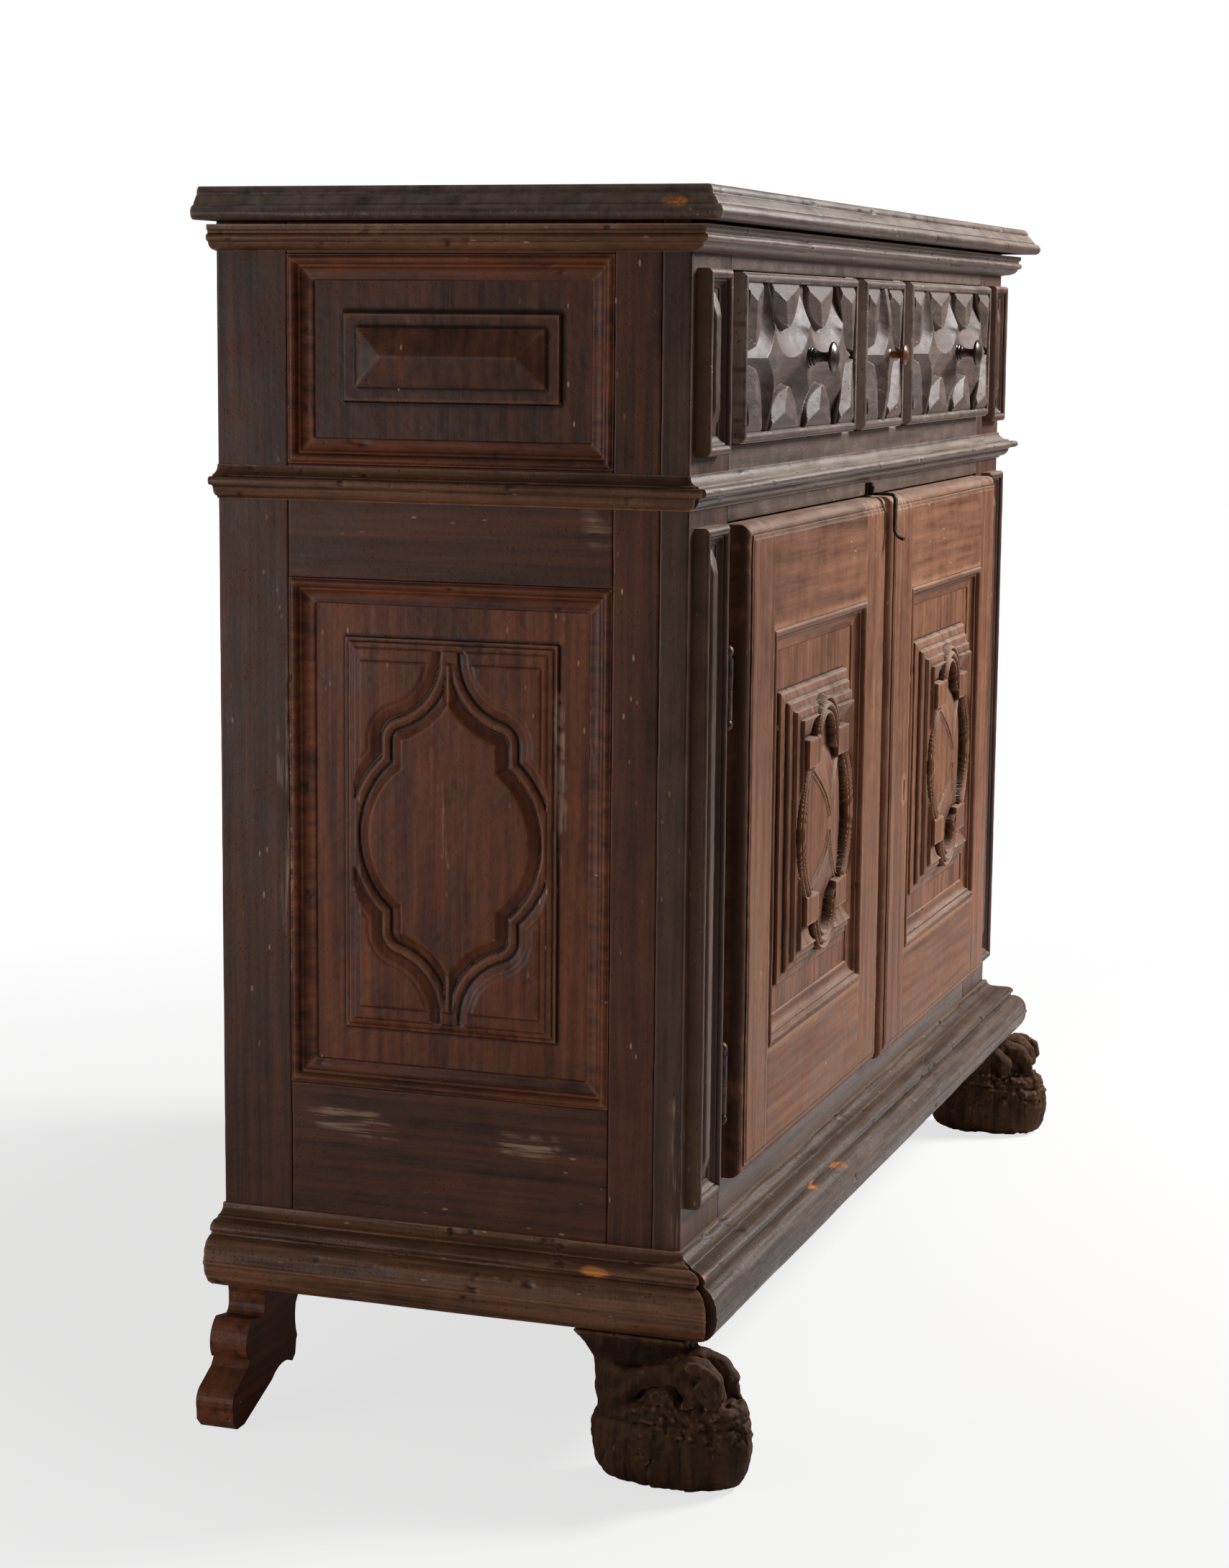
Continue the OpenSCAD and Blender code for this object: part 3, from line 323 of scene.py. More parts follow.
def relief(us, vs, height, place, back, hole=None):
    """A plate with the front height(u, v) on a grid, walls down to the level back and a back face; hole(u, v)
    says which cells are left out."""
    u, v = np.meshgrid(us, vs, indexing="ij")
    quads = grid_faces(*u.shape)
    if hole is not None:
        cell_u, cell_v = middle(us[:-1], us[1:])[:, None], middle(vs[:-1], vs[1:])[None, :]
        quads = quads[~hole(cell_u, cell_v).ravel()]
    used, index = np.unique(quads.ravel(), return_inverse=True)
    quads = index.reshape(-1, 4)
    front = place(u, v, height(u, v)).reshape(-1, 3)[used]
    rim = place(u, v, np.full(u.shape, float(back))).reshape(-1, 3)[used]
    n = len(front)
    a, b = quads.ravel(), np.roll(quads, -1, axis=1).ravel()
    border = ~np.isin(a * n + b, b * n + a)
    a, b = a[border], b[border]
    if hole is not None:
        walls = np.stack([b, a, a + n, b + n], 1)
        return np.concatenate([front, rim]), quads.tolist() + walls.tolist() + (quads[:, ::-1] + n).tolist()
    ring = np.unique(a)
    low_a, low_b = n + np.searchsorted(ring, a), n + np.searchsorted(ring, b)
    walls = np.stack([b, a, low_a, low_b], 1)
    fan = np.stack([low_b, low_a, np.full(len(a), n + len(ring))], 1)
    points = np.concatenate([front, rim[ring], rim[ring].mean(0, keepdims=True)])
    return points, quads.tolist() + walls.tolist() + fan.tolist()


def shader(tree, kind, inputs=None, **settings):
    """A shader node with its settings and inputs: a socket is linked, anything else is set as the value."""
    node = tree.nodes.new("ShaderNode" + kind)
    for key, value in settings.items():
        setattr(node, key, value)
    for key, value in (inputs or {}).items():
        if isinstance(value, bpy.types.NodeSocket):
            tree.links.new(value, node.inputs[key])
        else:
            node.inputs[key].default_value = value
    return node


def sums(tree, operation, a, b):
    """One arithmetic node's result."""
    return shader(tree, "Math", {0: a, 1: b}, operation=operation).outputs[0]


def scaled(tree, point, along, across):
    """A point stretched by one scale along the grain and another across it."""
    return shader(tree, "VectorMath", {0: point, 1: (along, across, across)}, operation="MULTIPLY").outputs[0]


def spread(tree, value, low, high, to_low=0.0, to_high=1.0):
    """A value's range from low to high stretched to another range, and held at its ends."""
    inputs = {"Value": value, "From Min": low, "From Max": high, "To Min": to_low, "To Max": to_high}
    return shader(tree, "MapRange", inputs).outputs[0]


def blend(tree, factor, a, b, kind="MIX"):
    """Two colours mixed."""
    return shader(tree, "Mix", {0: factor, 6: a, 7: b}, data_type="RGBA", blend_type=kind).outputs[2]


def attribute(tree, name, output="Fac"):
    """A value stored at the points of the mesh."""
    return shader(tree, "Attribute", attribute_name=name).outputs[output]


def cloud(tree, point, scale, detail=5.0, rough=0.55):
    """Fractal noise at a point."""
    inputs = {"Vector": point, "Scale": scale, "Detail": detail, "Roughness": rough}
    return shader(tree, "TexNoise", inputs).outputs[0]


def pits(tree, point, scale):
    """Distance from the nearest of scattered spots."""
    return shader(tree, "TexVoronoi", {"Vector": point, "Scale": scale}).outputs["Distance"]


def new_group(name, inputs, outputs):
    """An empty node group with its sockets."""
    tree = bpy.data.node_groups.new(name, "ShaderNodeTree")
    for direction, sockets in (("INPUT", inputs), ("OUTPUT", outputs)):
        for label, kind in sockets:
            tree.interface.new_socket(label, in_out=direction, socket_type="NodeSocket" + kind)
    return tree, tree.nodes.new("NodeGroupInput").outputs, tree.nodes.new("NodeGroupOutput").inputs


def wood_group():
    """Old wood. The colour runs from Dark to Light by half fibres, a quarter mottling and a quarter broad
    streaks; over it lie rubbed edges, dark hollows that are part dirt and part painted shade, dust on what
    faces up, worm holes, pale flecks, pale streaks that are part scuffs and part painted highlights, painted
    shade in a few places and bare patches, each by its own mask. Relief is the depth of the bump in metres."""
    colours = [(label, "Color") for label in ("Dark", "Light", "Worn", "Dust")]
    values = [(label, "Float") for label in ("Dusty", "Shine", "Holes", "Relief")]
    tree, given, result = new_group("Old wood", [("Point", "Vector")] + colours + values,
                                    [("Color", "Color"), ("Roughness", "Float"), ("Normal", "Vector")])

    def plus(a, b):
        return sums(tree, "ADD", a, b)

    def times(a, b):
        return sums(tree, "MULTIPLY", a, b)

    point = given["Point"]
    drawn = scaled(tree, point, 5.0, 120.0)
    fibre = cloud(tree, drawn, 1.0, 5.0, 0.6)
    streak = cloud(tree, scaled(tree, point, 2.5, 16.0), 1.0, 3.0, 0.5)
    patch = cloud(tree, point, 30.0, 7.0, 0.66)
    settled = cloud(tree, scaled(tree, point, 9.0, 60.0), 1.0, 6.0, 0.65)
    speck = cloud(tree, point, 260.0, 3.0, 0.6)
    mixed = plus(plus(times(fibre, 0.5), times(patch, 0.25)), times(streak, 0.25))
    colour = blend(tree, spread(tree, mixed, 0.36, 0.66), given["Dark"], given["Light"])
    colour = blend(tree, spread(tree, speck, 0.55, 0.75, 0.0, 0.35), colour, given["Dark"])

    ragged = times(sums(tree, "SUBTRACT", patch, 0.5), 1.3)
    worn = spread(tree, plus(attribute(tree, "wear"), ragged), 0.35, 1.1, 0.0, 0.55)
    colour = blend(tree, worn, colour, given["Worn"])
    # Hollows darkened towards near black: part dirt, part painted shade
    hollow_dirt_and_shade = spread(tree, attribute(tree, "cavity"), 0.04, 0.7, 0.0, 0.85)
    colour = blend(tree, hollow_dirt_and_shade, colour, tone(22, 15, 11))

    facing = shader(tree, "SeparateXYZ", {0: shader(tree, "NewGeometry").outputs["Normal"]}).outputs["Z"]
    dusty = times(spread(tree, facing, 0.1, 0.95), spread(tree, settled, 0.35, 0.62, 0.3, 1.0))
    dusty = times(dusty, given["Dusty"])
    colour = blend(tree, dusty, colour, given["Dust"])

    eaten = spread(tree, cloud(tree, point, 30.0, 2.0), 0.52, 0.6)
    worm = times(spread(tree, pits(tree, point, 190.0), 0.22, 0.13), eaten)
    worm = times(worm, given["Holes"])
    colour = blend(tree, worm, colour, tone(12, 8, 6))
    flecks = spread(tree, pits(tree, scaled(tree, point, 34.0, 90.0), 1.0), 0.11, 0.06)
    flecks = times(flecks, spread(tree, streak, 0.5, 0.62, 0.0, 0.7))
    colour = blend(tree, flecks, colour, tone(178, 142, 108))

    strokes = spread(tree, cloud(tree, drawn, 1.6, 4.0, 0.7), 0.48, 0.6)
    # Pale streaks: scuffs, and painted highlights down the left side's ridges
    scuffs_and_highlights = times(strokes, times(attribute(tree, "scuff_and_highlight"), 0.5))
    colour = blend(tree, scuffs_and_highlights, colour, tone(176, 146, 122))
    # Painted shade: darkens the places listed as painted shade
    colour = blend(tree, times(attribute(tree, "painted_shade"), 0.7), colour, tone(34, 20, 13))
    bare = attribute(tree, "bare")
    fresh = blend(tree, spread(tree, fibre, 0.4, 0.6), tone(140, 78, 38), tone(214, 138, 70))
    colour = blend(tree, bare, colour, fresh)

    rough = plus(spread(tree, patch, 0.3, 0.7, 0.42, 0.62), times(dusty, 0.3))
    rough = sums(tree, "SUBTRACT", rough, times(given["Shine"], 0.22))
    rough = plus(rough, times(bare, 0.25))
    height = plus(plus(times(fibre, 0.5), times(patch, 0.9)), times(speck, 0.25))
    height = sums(tree, "SUBTRACT", height, times(worm, 1.5))
    bump = shader(tree, "Bump", {"Strength": 0.5, "Distance": given["Relief"], "Height": height})
    tree.links.new(colour, result["Color"])
    tree.links.new(rough, result["Roughness"])
    tree.links.new(bump.outputs[0], result["Normal"])
    return tree


def new_material(name):
    """A material, its node tree and the shader in it."""
    material = bpy.data.materials.new(name)
    material.use_nodes = True
    tree = material.node_tree
    return material, tree, tree.nodes["Principled BSDF"]


def wood(name, group, dark, light, worn, dust, dusty, shine, holes, relief, gloss, own=True):
    """A material from the wood group, on the mesh's own grain coordinates or on the object's."""
    material, tree, main = new_material(name)
    use = tree.nodes.new("ShaderNodeGroup")
    use.node_tree = group
    point = attribute(tree, "grain", "Vector") if own else shader(tree, "TexCoord").outputs["Object"]
    tree.links.new(point, use.inputs["Point"])
    for label, value in (("Dark", dark), ("Light", light), ("Worn", worn), ("Dust", dust)):
        use.inputs[label].default_value = tone(*value)
    for label, value in (("Dusty", dusty), ("Shine", shine), ("Holes", holes), ("Relief", relief)):
        use.inputs[label].default_value = value
    tree.links.new(use.outputs["Color"], main.inputs["Base Color"])
    tree.links.new(use.outputs["Roughness"], main.inputs["Roughness"])
    tree.links.new(use.outputs["Normal"], main.inputs["Normal"])
    main.inputs["Specular IOR Level"].default_value = gloss
    return material


def iron(name):
    """Wrought iron: near black, browner in patches, brighter where rubbed."""
    material, tree, main = new_material(name)
    point = shader(tree, "TexCoord").outputs["Object"]
    patch = cloud(tree, point, 130.0, 5.0)
    colour = blend(tree, spread(tree, patch, 0.4, 0.65), tone(34, 30, 29), tone(84, 62, 48))
    colour = blend(tree, spread(tree, attribute(tree, "wear"), 0.3, 0.9), colour, tone(150, 142, 132))
    tree.links.new(colour, main.inputs["Base Color"])
    tree.links.new(spread(tree, patch, 0.3, 0.7, 0.35, 0.6), main.inputs["Roughness"])
    main.inputs["Metallic"].default_value = 0.75
    bump = shader(tree, "Bump", {"Strength": 0.5, "Distance": 0.0006, "Height": patch})
    tree.links.new(bump.outputs[0], main.inputs["Normal"])
    return material


# Colours Dark, Light, Worn and Dust as a screen shows them, then Dusty, Shine, Holes, Relief and gloss
LOOKS = {
    "side_wood": ((44, 23, 14), (124, 68, 41), (140, 98, 70), (104, 86, 70), 0.2, 0.3, 0.2, 0.0009, 0.22),
    "side_frame_wood": ((34, 19, 12), (94, 54, 35), (122, 84, 62), (100, 82, 68),
                        0.2, 0.3, 0.3, 0.0009, 0.22),
    "front_wood": ((54, 42, 37), (106, 88, 78), (146, 122, 106), (164, 148, 134),
                   0.6, 0.5, 0.4, 0.0012, 0.32),
    "return_wood": ((42, 28, 20), (126, 84, 60), (150, 112, 84), (110, 92, 76), 0.2, 0.4, 0.4, 0.002, 0.25),
    # base_wood is a darker copy of front_wood for the base moulding: painted shade towards the bottom
    "base_wood": ((34, 24, 19), (88, 68, 56), (136, 112, 94), (118, 100, 86), 0.35, 0.4, 0.5, 0.003, 0.25),
    "door_wood": ((70, 42, 30), (132, 90, 67), (156, 114, 86), (166, 150, 136),
                  0.55, 0.0, 0.3, 0.0009, 0.12),
    "drawer_wood": ((44, 33, 30), (104, 86, 79), (178, 158, 144), (146, 132, 122),
                    0.4, 0.0, 0.5, 0.0012, 0.2),
    "stile_wood": ((44, 28, 21), (90, 61, 47), (122, 92, 74), (146, 132, 120), 0.6, 0.3, 0.3, 0.0009, 0.25),
    # top_wood is a greyer copy of the side wood for the top board: its greyness is painted sheen
    "top_wood": ((40, 28, 22), (84, 64, 53), (134, 110, 92), (160, 142, 128), 0.6, 0.5, 0.2, 0.0012, 0.35),
    "inside_wood": ((58, 44, 34), (104, 82, 64), (130, 106, 84), (126, 114, 102),
                    0.3, 0.0, 0.3, 0.0009, 0.2),
    "paw_wood": ((22, 13, 8), (78, 52, 35), (134, 102, 76), (110, 86, 66), 0.35, -0.8, 0.6, 0.003, 0.12),
    "knob_wood": ((30, 22, 18), (66, 50, 40), (120, 96, 76), (96, 84, 74), 0.2, 1.3, 0.0, 0.0004, 0.4),
    "knob_wood_light": ((66, 36, 24), (120, 72, 48), (150, 100, 70), (120, 100, 84),
                        0.2, 1.2, 0.0, 0.0004, 0.4),
}
shared = wood_group()
materials = {key: wood(key, shared, *look) for key, look in LOOKS.items()}
plain = {key: wood(key + "_plain", shared, *look, own=False) for key, look in LOOKS.items()}
materials["old_iron"] = plain["old_iron"] = iron("old_iron")


def top_profile(out, high):
    """Edge of the top as (out, up): a quarter round, a small step, a slope and a round nose."""
    lip = out - 5.4
    return ([(0, high), (out - 17, high)] + quarter("over", out - 17, high, out - 12, high - 6)
            + [(out - 12, high - 7.2), (out - 10.4, high - 8), (lip, high - 14.4), (lip, high - 15.4)]
            + quarter("over", lip, high - 15.4, out, high - 21.4)
            + quarter("under", out, high - 21.4, out - 5, 0)[1:] + [(10, 0)])


def cornice_profile(out, high):
    """Section of the cornice as (out, up): two square steps, a half round of 3 and a hollow."""
    return ([(out - 1, high), (out - 1, high - 4), (out - 3, high - 5), (out - 3, high - 7.5)]
            + arc(out - 3, high - 10.5, 3, 80, -80)
            + quarter("hollow", out - 4, high - 14, 2, 0.5) + [(2, 0)])


def waist_profile(out, high):
    """Section of the waist as (out, up): a hollow, a round of 3.5 that stands proudest, a second hollow."""
    return (quarter("hollow", 1.5, high, out - 9, high - 8) + [(out - 9, high - 9.5)]
            + arc(out - 3.5, high - 13, 3.5, 110, -110)
            + [(out - 7, high - 17)] + quarter("hollow", out - 9, high - 18, 3, 2) + [(2, 0)])


def base_profile(out, high):
    """Section of the base as (out, up): a hollow, a small and a large quarter round with steps between, a
    narrow band and a round that goes back underneath."""
    ledge = out - 16
    return (quarter("hollow", 4, high, 13, high - 8) + [(15, high - 8.5), (15, high - 10)]
            + quarter("over", 20, high - 10, out - 14, high - 16)
            + [(out - 14, high - 17.5), (ledge, high - 18.5), (ledge, high - 21)]
            + quarter("over", ledge, high - 21, out - 1, high - 39)
            + [(out - 1, high - 40), (out, high - 41), (out, high - 43), (out - 1, high - 44)]
            + quarter("under", out - 1, high - 44, out - 26, 0, 14))


def worn_run(points, inward, seed, rough):
    """Moves points towards the carcass: a slow wobble, small unevenness and nicks where noise is high."""
    cut = rough * (0.35 * noise(points, 90, seed) + 0.16 * noise(points, 14, seed + 1) + 0.35)
    cut += 1.6 * rough * step(layered(points, 16, seed + 2), 0.42, 0.85)
    along = (1, 0.05, 1) if np.abs(inward[..., 0]).max() > 0 else (0.05, 1, 1)
    cut += 0.45 * rough ** 3 * noise(points * along, 3.4, seed + 3)
    return points + inward * np.clip(cut, 0, 4)[..., None]


def moulding(profile, z, side, seed, rough, split):
    """A moulding's run: side 0 is the front between its mitres, -1 and 1 go from the front mitre to the back.
    At its start the mitre opens by split in a half sine over the height, which fades along the run."""
    line = softened(profile, 0.8, 1.6)
    section = np.concatenate([[(0, line[0][1])], line, [(0, line[-1][1])]])
    high = section[:, 1].max()

    def place(s, out, up):
        bulge = np.sin(np.pi * np.clip(up / high, 0, 1) ** 0.8) * np.clip(out / 10, 0, 1)
        opening = split * bulge * (1 - s) ** 8
        if side == 0:
            x = (2 * s - 1) * (SIDE + out - SLACK) + opening
            y = FACE - out
        else:
            x = side * (SIDE + out)
            y = FACE - out + s * (REAR - FACE + out) + opening
        inward = np.where(out > 1, 1.0, 0.0)[:, None] * np.array([-side, 1 - abs(side), 0])
        return worn_run(np.stack([x, y, z + up], -1), inward, seed, rough)

    points, faces = sweep(section, np.linspace(0, 1, 110 if side else 260), place)
    return points, faces, abs(side)


def top():
    """The top board: its edge profile carried round the left side, the front and the right side, and closed
    by flat faces above, below and behind."""
    low, high = span("top_board")
    line = softened(top_profile(FACE - low[1], high[2] - low[2]), 0.8)
    out, up = line.T
    rear = high[1]
    parts = []
    for side, count in ((-1, 90), (0, 240), (1, 90)):
        s = np.linspace(0, 1, count)[:, None]
        if side == 0:
            x = (2 * s - 1) * (SIDE + out)
            y = FACE - out + 0 * s
        else:
            x = side * (SIDE + out) + 0 * s
            y = rear + (s if side < 0 else 1 - s) * (FACE - out - rear)
        p = np.stack([x, y, low[2] + up + 0 * s], -1)
        inward = np.array([-side, 1 - abs(side), 0]) * (out > 2)[:, None]
        p = worn_run(p, inward, 5, 0.8)
        parts.append(p if side > 0 else p[:-1])
    rings = np.concatenate(parts)
    n, m = rings.shape[:2]
    k = np.arange(n * m).reshape(n, m)
    faces = np.stack([k[:-1, :-1], k[:-1, 1:], k[1:, 1:], k[1:, :-1]], -1).reshape(-1, 4).tolist()
    faces += [k[:, 0].tolist(), k[:, -1][::-1].tolist(), k[0].tolist() + k[-1][::-1].tolist()]
    return rings.reshape(-1, 3), faces, 0


def falling(w, d):
    """Section of a moulding that falls from the frame at 0 to the panel at w, as (across, up)."""
    return ([(0, 0), (0, d + 0.5)] + arc(4, d - 1.5, 3.5, 150, 20) + [(8, d - 2.5), (9.5, d - 2.5)]
            + quarter("hollow", 10.5, d - 3, w - 3.5, 2) + [(w - 1, 2), (w, 1), (w, 0)])


def mitred(section, box, place, seed):
    """Four bars round the box (a0, a1, b0, b1), mitred at the corners with a little slack;
    place(a, b, up) sets a point. Wear lowers each bar by a slow and a short noise and by nicks."""
    a0, a1, b0, b1 = box
    line = softened(section, 0.5, 1.8)
    slack = 0.15
    parts = []
    for turn in range(4):
        def carry(s, across, up, turn=turn):
            if turn % 2 == 0:
                a = a0 + across + slack + s * (a1 - a0 - 2 * across - 2 * slack)
                b = b0 + across if turn == 0 else b1 - across
            else:
                b = b0 + across + slack + s * (b1 - b0 - 2 * across - 2 * slack)
                a = a1 - across if turn == 1 else a0 + across
            a, b = a + 0 * up, b + 0 * up
            flat = place(a, b, up)
            dip = 0.3 * noise(flat, 60, seed) + 0.15 * noise(flat, 9, seed + 1) + 0.3
            dip = dip + 0.9 * step(layered(flat, 13, seed + 2), 0.45, 0.85)
            return place(a, b, up - np.where(up > 0.5, np.clip(dip, 0, 2), 0))

        length = (a1 - a0) if turn % 2 == 0 else (b1 - b0)
        points, faces = sweep(line, np.linspace(0, 1, max(12, int(length / 4))), carry)
        along = int(np.argmax(points.max(0) - points.min(0)))
        parts.append((points, faces, along))
    return join(parts)


def side_place(side, ground):
    """Puts (y, z, up) on the carcass's side -1 or 1, up counted outwards from the ground plane."""
    return lambda y, z, up: np.stack([side * (ground + up), y + 0 * up, z + 0 * up], -1)


def hammered(u, v, amount, seed):
    """Slight unevenness of hand-cut wood over a face."""
    p = np.stack([u, v, 0 * u], -1)
    return amount * (0.7 * layered(p, 26, seed) + 0.35 * noise(p, 5, seed + 7))


def upper_side(u, v):
    """Upper side panel: flat ground, a step 95 by 36.5 from the middle of its field, a tread, a second step
    and four slopes that rise 6 to a ridge."""
    d = np.minimum(95 - np.abs(u), 36.5 - np.abs(v - 898))
    h = 3.2 * step(d, 0, 1.2) + 1.8 * step(d, 12, 13) + 6 * np.clip((d - 13) / 23.5, 0, 1)
    return h + hammered(u, v, 0.3, 21)


def medallion_edge():
    """Half of the medallion's outline: an arc of radius 73 round the panel's upper corner, which crosses the
    middle line at the tip, a square ear, and the disc of radius 70."""
    points = [(62 - 73 * math.cos(a), 150 - 73 * math.sin(a)) for a in np.linspace(0, 1.28, 14)]
    points += [(41.0, 80.0), (41.0, 57.0)]
    points += [(70 * math.cos(a), 70 * math.sin(a)) for a in np.linspace(0.94, 0, 12)]
    return points


def inside(x, y, corners):
    """Whether each point lies within a closed outline, by counting crossings."""
    result = np.zeros(np.broadcast(x, y).shape, bool)
    for (ax, ay), (bx, by) in zip(corners, corners[1:] + corners[:1]):
        if ay != by:
            result ^= ((ay > y) != (by > y)) & (x < (bx - ax) * (y - ay) / (by - ay) + ax)
    return result


def lower_side(u, v):
    """Lower side panel: a stepped rectangle, in it a flat medallion 7.6 high. By the distance g from the
    medallion its wall falls hollow to 2.2 at 10, a roll stands from 12 to 18, a second hollow rises to the
    corner field at 27, and a ridge runs from the medallion's tip to the frame."""
    x, y = np.abs(u), np.abs(v - 507)
    d = np.minimum(94 - x, 164 - y)
    h = 2.6 * step(d, 0, 1.2) + 1.6 * step(d, 4, 5.2)
    edge = medallion_edge()
    g = distance(x, y, edge)
    wall = 2.2 + 5.4 * np.clip(1 - g / 10, 0, 1) ** 1.6
    crown = 1.1 * np.sin(np.pi * np.clip((g - 11.5) / 7, 0, 1))
    roll = 2.6 * step(g, 10, 11.5) + crown - 2.2 * step(g, 18, 19.5)
    field = 3.0 * np.clip((g - 19.5) / 8, 0, 1) ** 1.5 + 0.6 * step(g, 31, 32)
    inner = wall + roll + field
    inner = np.where(inside(x, y, edge + [(0.0, 0.0)]), 7.6, inner)
    inner = np.maximum(inner, np.where(y > 100, 7.4 - 0.8 * x, 0))
    rim = np.minimum(82 - x, 147 - y)
    inner = np.where(rim < 2.5, np.minimum(inner, 5.2), inner)
    h = np.where(d > 9.5, inner, h)
    return h + hammered(u, v, 0.35, 31)


def drawer_relief(u, v, half, high, seed):
    """Drawer front about its middle, with a field of half by high inside a rolled border. Petals grow in from
    the border above and below. At s from the border a full petal's half width is 43 (1 - (s/40)^2.2)^0.7,
    and two of them stand 109 apart; a half petal at each end is 50 (1 - (s/60)^5) wide. Each petal is the
    least of three slanting planes, with a groove round it and a cove beyond, whose floor lies between the
    petal's edge and the cove's own edge by their distances. Pointed stars fill the rest."""
    s = high - np.abs(v)
    end = half - np.abs(u)
    field = np.minimum(end, s)
    pitch = 54.5
    star = 4 - 5.5 * (1 - np.clip(s / 36, 0, 1)) ** 1.5
    whole = np.abs(u) < 2 * pitch if half > 100 else np.zeros(u.shape, bool)
    t = np.where(whole, np.abs(np.abs(u) - pitch), end)
    lean = u - np.sign(u) * np.where(whole, pitch, half - 21) - np.where(whole, 0, 11)

    k = np.linspace(0, 1, 26)
    bow = [(50 * math.cos(a), 38 + 23.5 * math.sin(a)) for a in np.linspace(0, math.pi / 2, 16)]
    full_edge = list(zip(43 * (1 - k ** 2.2) ** 0.7, 40 * k))
    full_cove = list(zip(50 + 40 * (1 - k), 38 * k)) + bow
    half_edge = list(zip(50 * (1 - k ** 5), 60 * k))
    half_cove = [(62 * (1 - max(75 * j - 30, 0) ** 3 / 45 ** 3), 75 * j) for j in k]
    near = np.where(whole, distance(t, s, full_edge), distance(t, s, half_edge))
    far = np.where(whole, distance(t, s, full_cove), distance(t, s, half_cove))
    full_petal = 43 * (1 - np.clip(s / 40, 0, 1) ** 2.2) ** 0.7
    half_petal = 50 * (1 - np.clip(s / 60, 0, 1) ** 5)
    oval = 50 * np.sqrt(np.clip(1 - ((s - 38) / 23.5) ** 2, 0, 1))
    full_bound = np.where(s < 38, 50 + 40 * (38 - s) / 38, oval)
    half_bound = 62 * (1 - (np.clip(s - 30, 0, 45) / 45) ** 3)

    q = near / (near + far + 1e-6)
    cove = np.maximum(star - 9.5 * (1 - q ** 1.35), -6.5)
    away = 3.8 - 0.04 * (s - 15) - np.where(whole, 0.11, 0.17) * (lean + 20)
    turned = 3.8 + 0.4 * (lean + 20) - np.where(whole | (u > 0), 0.37, 0.1) * (s - 15)
    petal = np.minimum(np.minimum(-3.5 + 0.48 * s, away), turned)
    h = np.where(t < np.where(whole, full_bound, half_bound), cove, star)
    h = np.where(t < np.where(whole, full_petal, half_petal), petal, h)
    h = np.minimum(h, -6 + near ** 2)
    h = np.minimum(h, np.where(s < 50, -5 + 1.1 * end ** 2, 20))

    roll = np.clip(-field, 0, ROLL)
    border = np.where(roll < 6, -1.6 + 1.6 * np.sqrt(np.clip(1 - ((roll - 3) / 3) ** 2, 0, 1)), -1.6)
    border = np.where(roll > 6.4, -1.6 - 3 * (roll - 6.4), border)
    h = np.where(field > 0, h, border)
    return h + hammered(u, v, 0.3, seed) * np.where(field > 0, 1, 0.5)


def pilaster(node, seed):
    """A framed pilaster: a roll and a hollow round the edge, a sunk ground and a raised bar with sloping
    sides and pointed ends."""
    x0, x1, z0, z1 = upright(node)
    x, z = middle(x0, x1), middle(z0, z1)
    wide, long = (x1 - x0) / 2, (z1 - z0) / 2
    across = [0.0, 0.3, 1, 2, 3, 4, 5, 6, 7, 7.5, 8, 9, 9.5, 10.5, 12, 13.5, 14.8, 15.2]
    level = [8.0, 9.6, 10.7, 11.5, 11.9, 12, 11.9, 11.5, 10.7, 10, 8.5, 8.5, 8, 6.4, 5, 4.2, 4, 3]

    def height(u, v):
        d = np.minimum(wide - np.abs(u), long - np.abs(v))
        end = long - 18 - np.abs(v)
        bar = 3 + np.minimum(np.minimum(1 + (11 - np.abs(u)) * 0.85, 6), 1 + end * 0.27)
        bar = np.where((np.abs(u) < 11) & (end > 0) & (np.abs(u) < 2 + end * 0.6), bar, 3)
        return np.where(d > 15, bar, np.interp(d, across, level)) + hammered(u, v + z, 0.3, seed)

    us = lines(-wide, wide, 1.2, [s * (wide - a) for a in across for s in (-1, 1)])
    vs = lines(-long, long, 2.4, [s * (long - a) for a in across for s in (-1, 1)])
    return relief(us, vs, height, lambda u, v, h: np.stack([x + u, FACE - h, z + v], -1), 0)


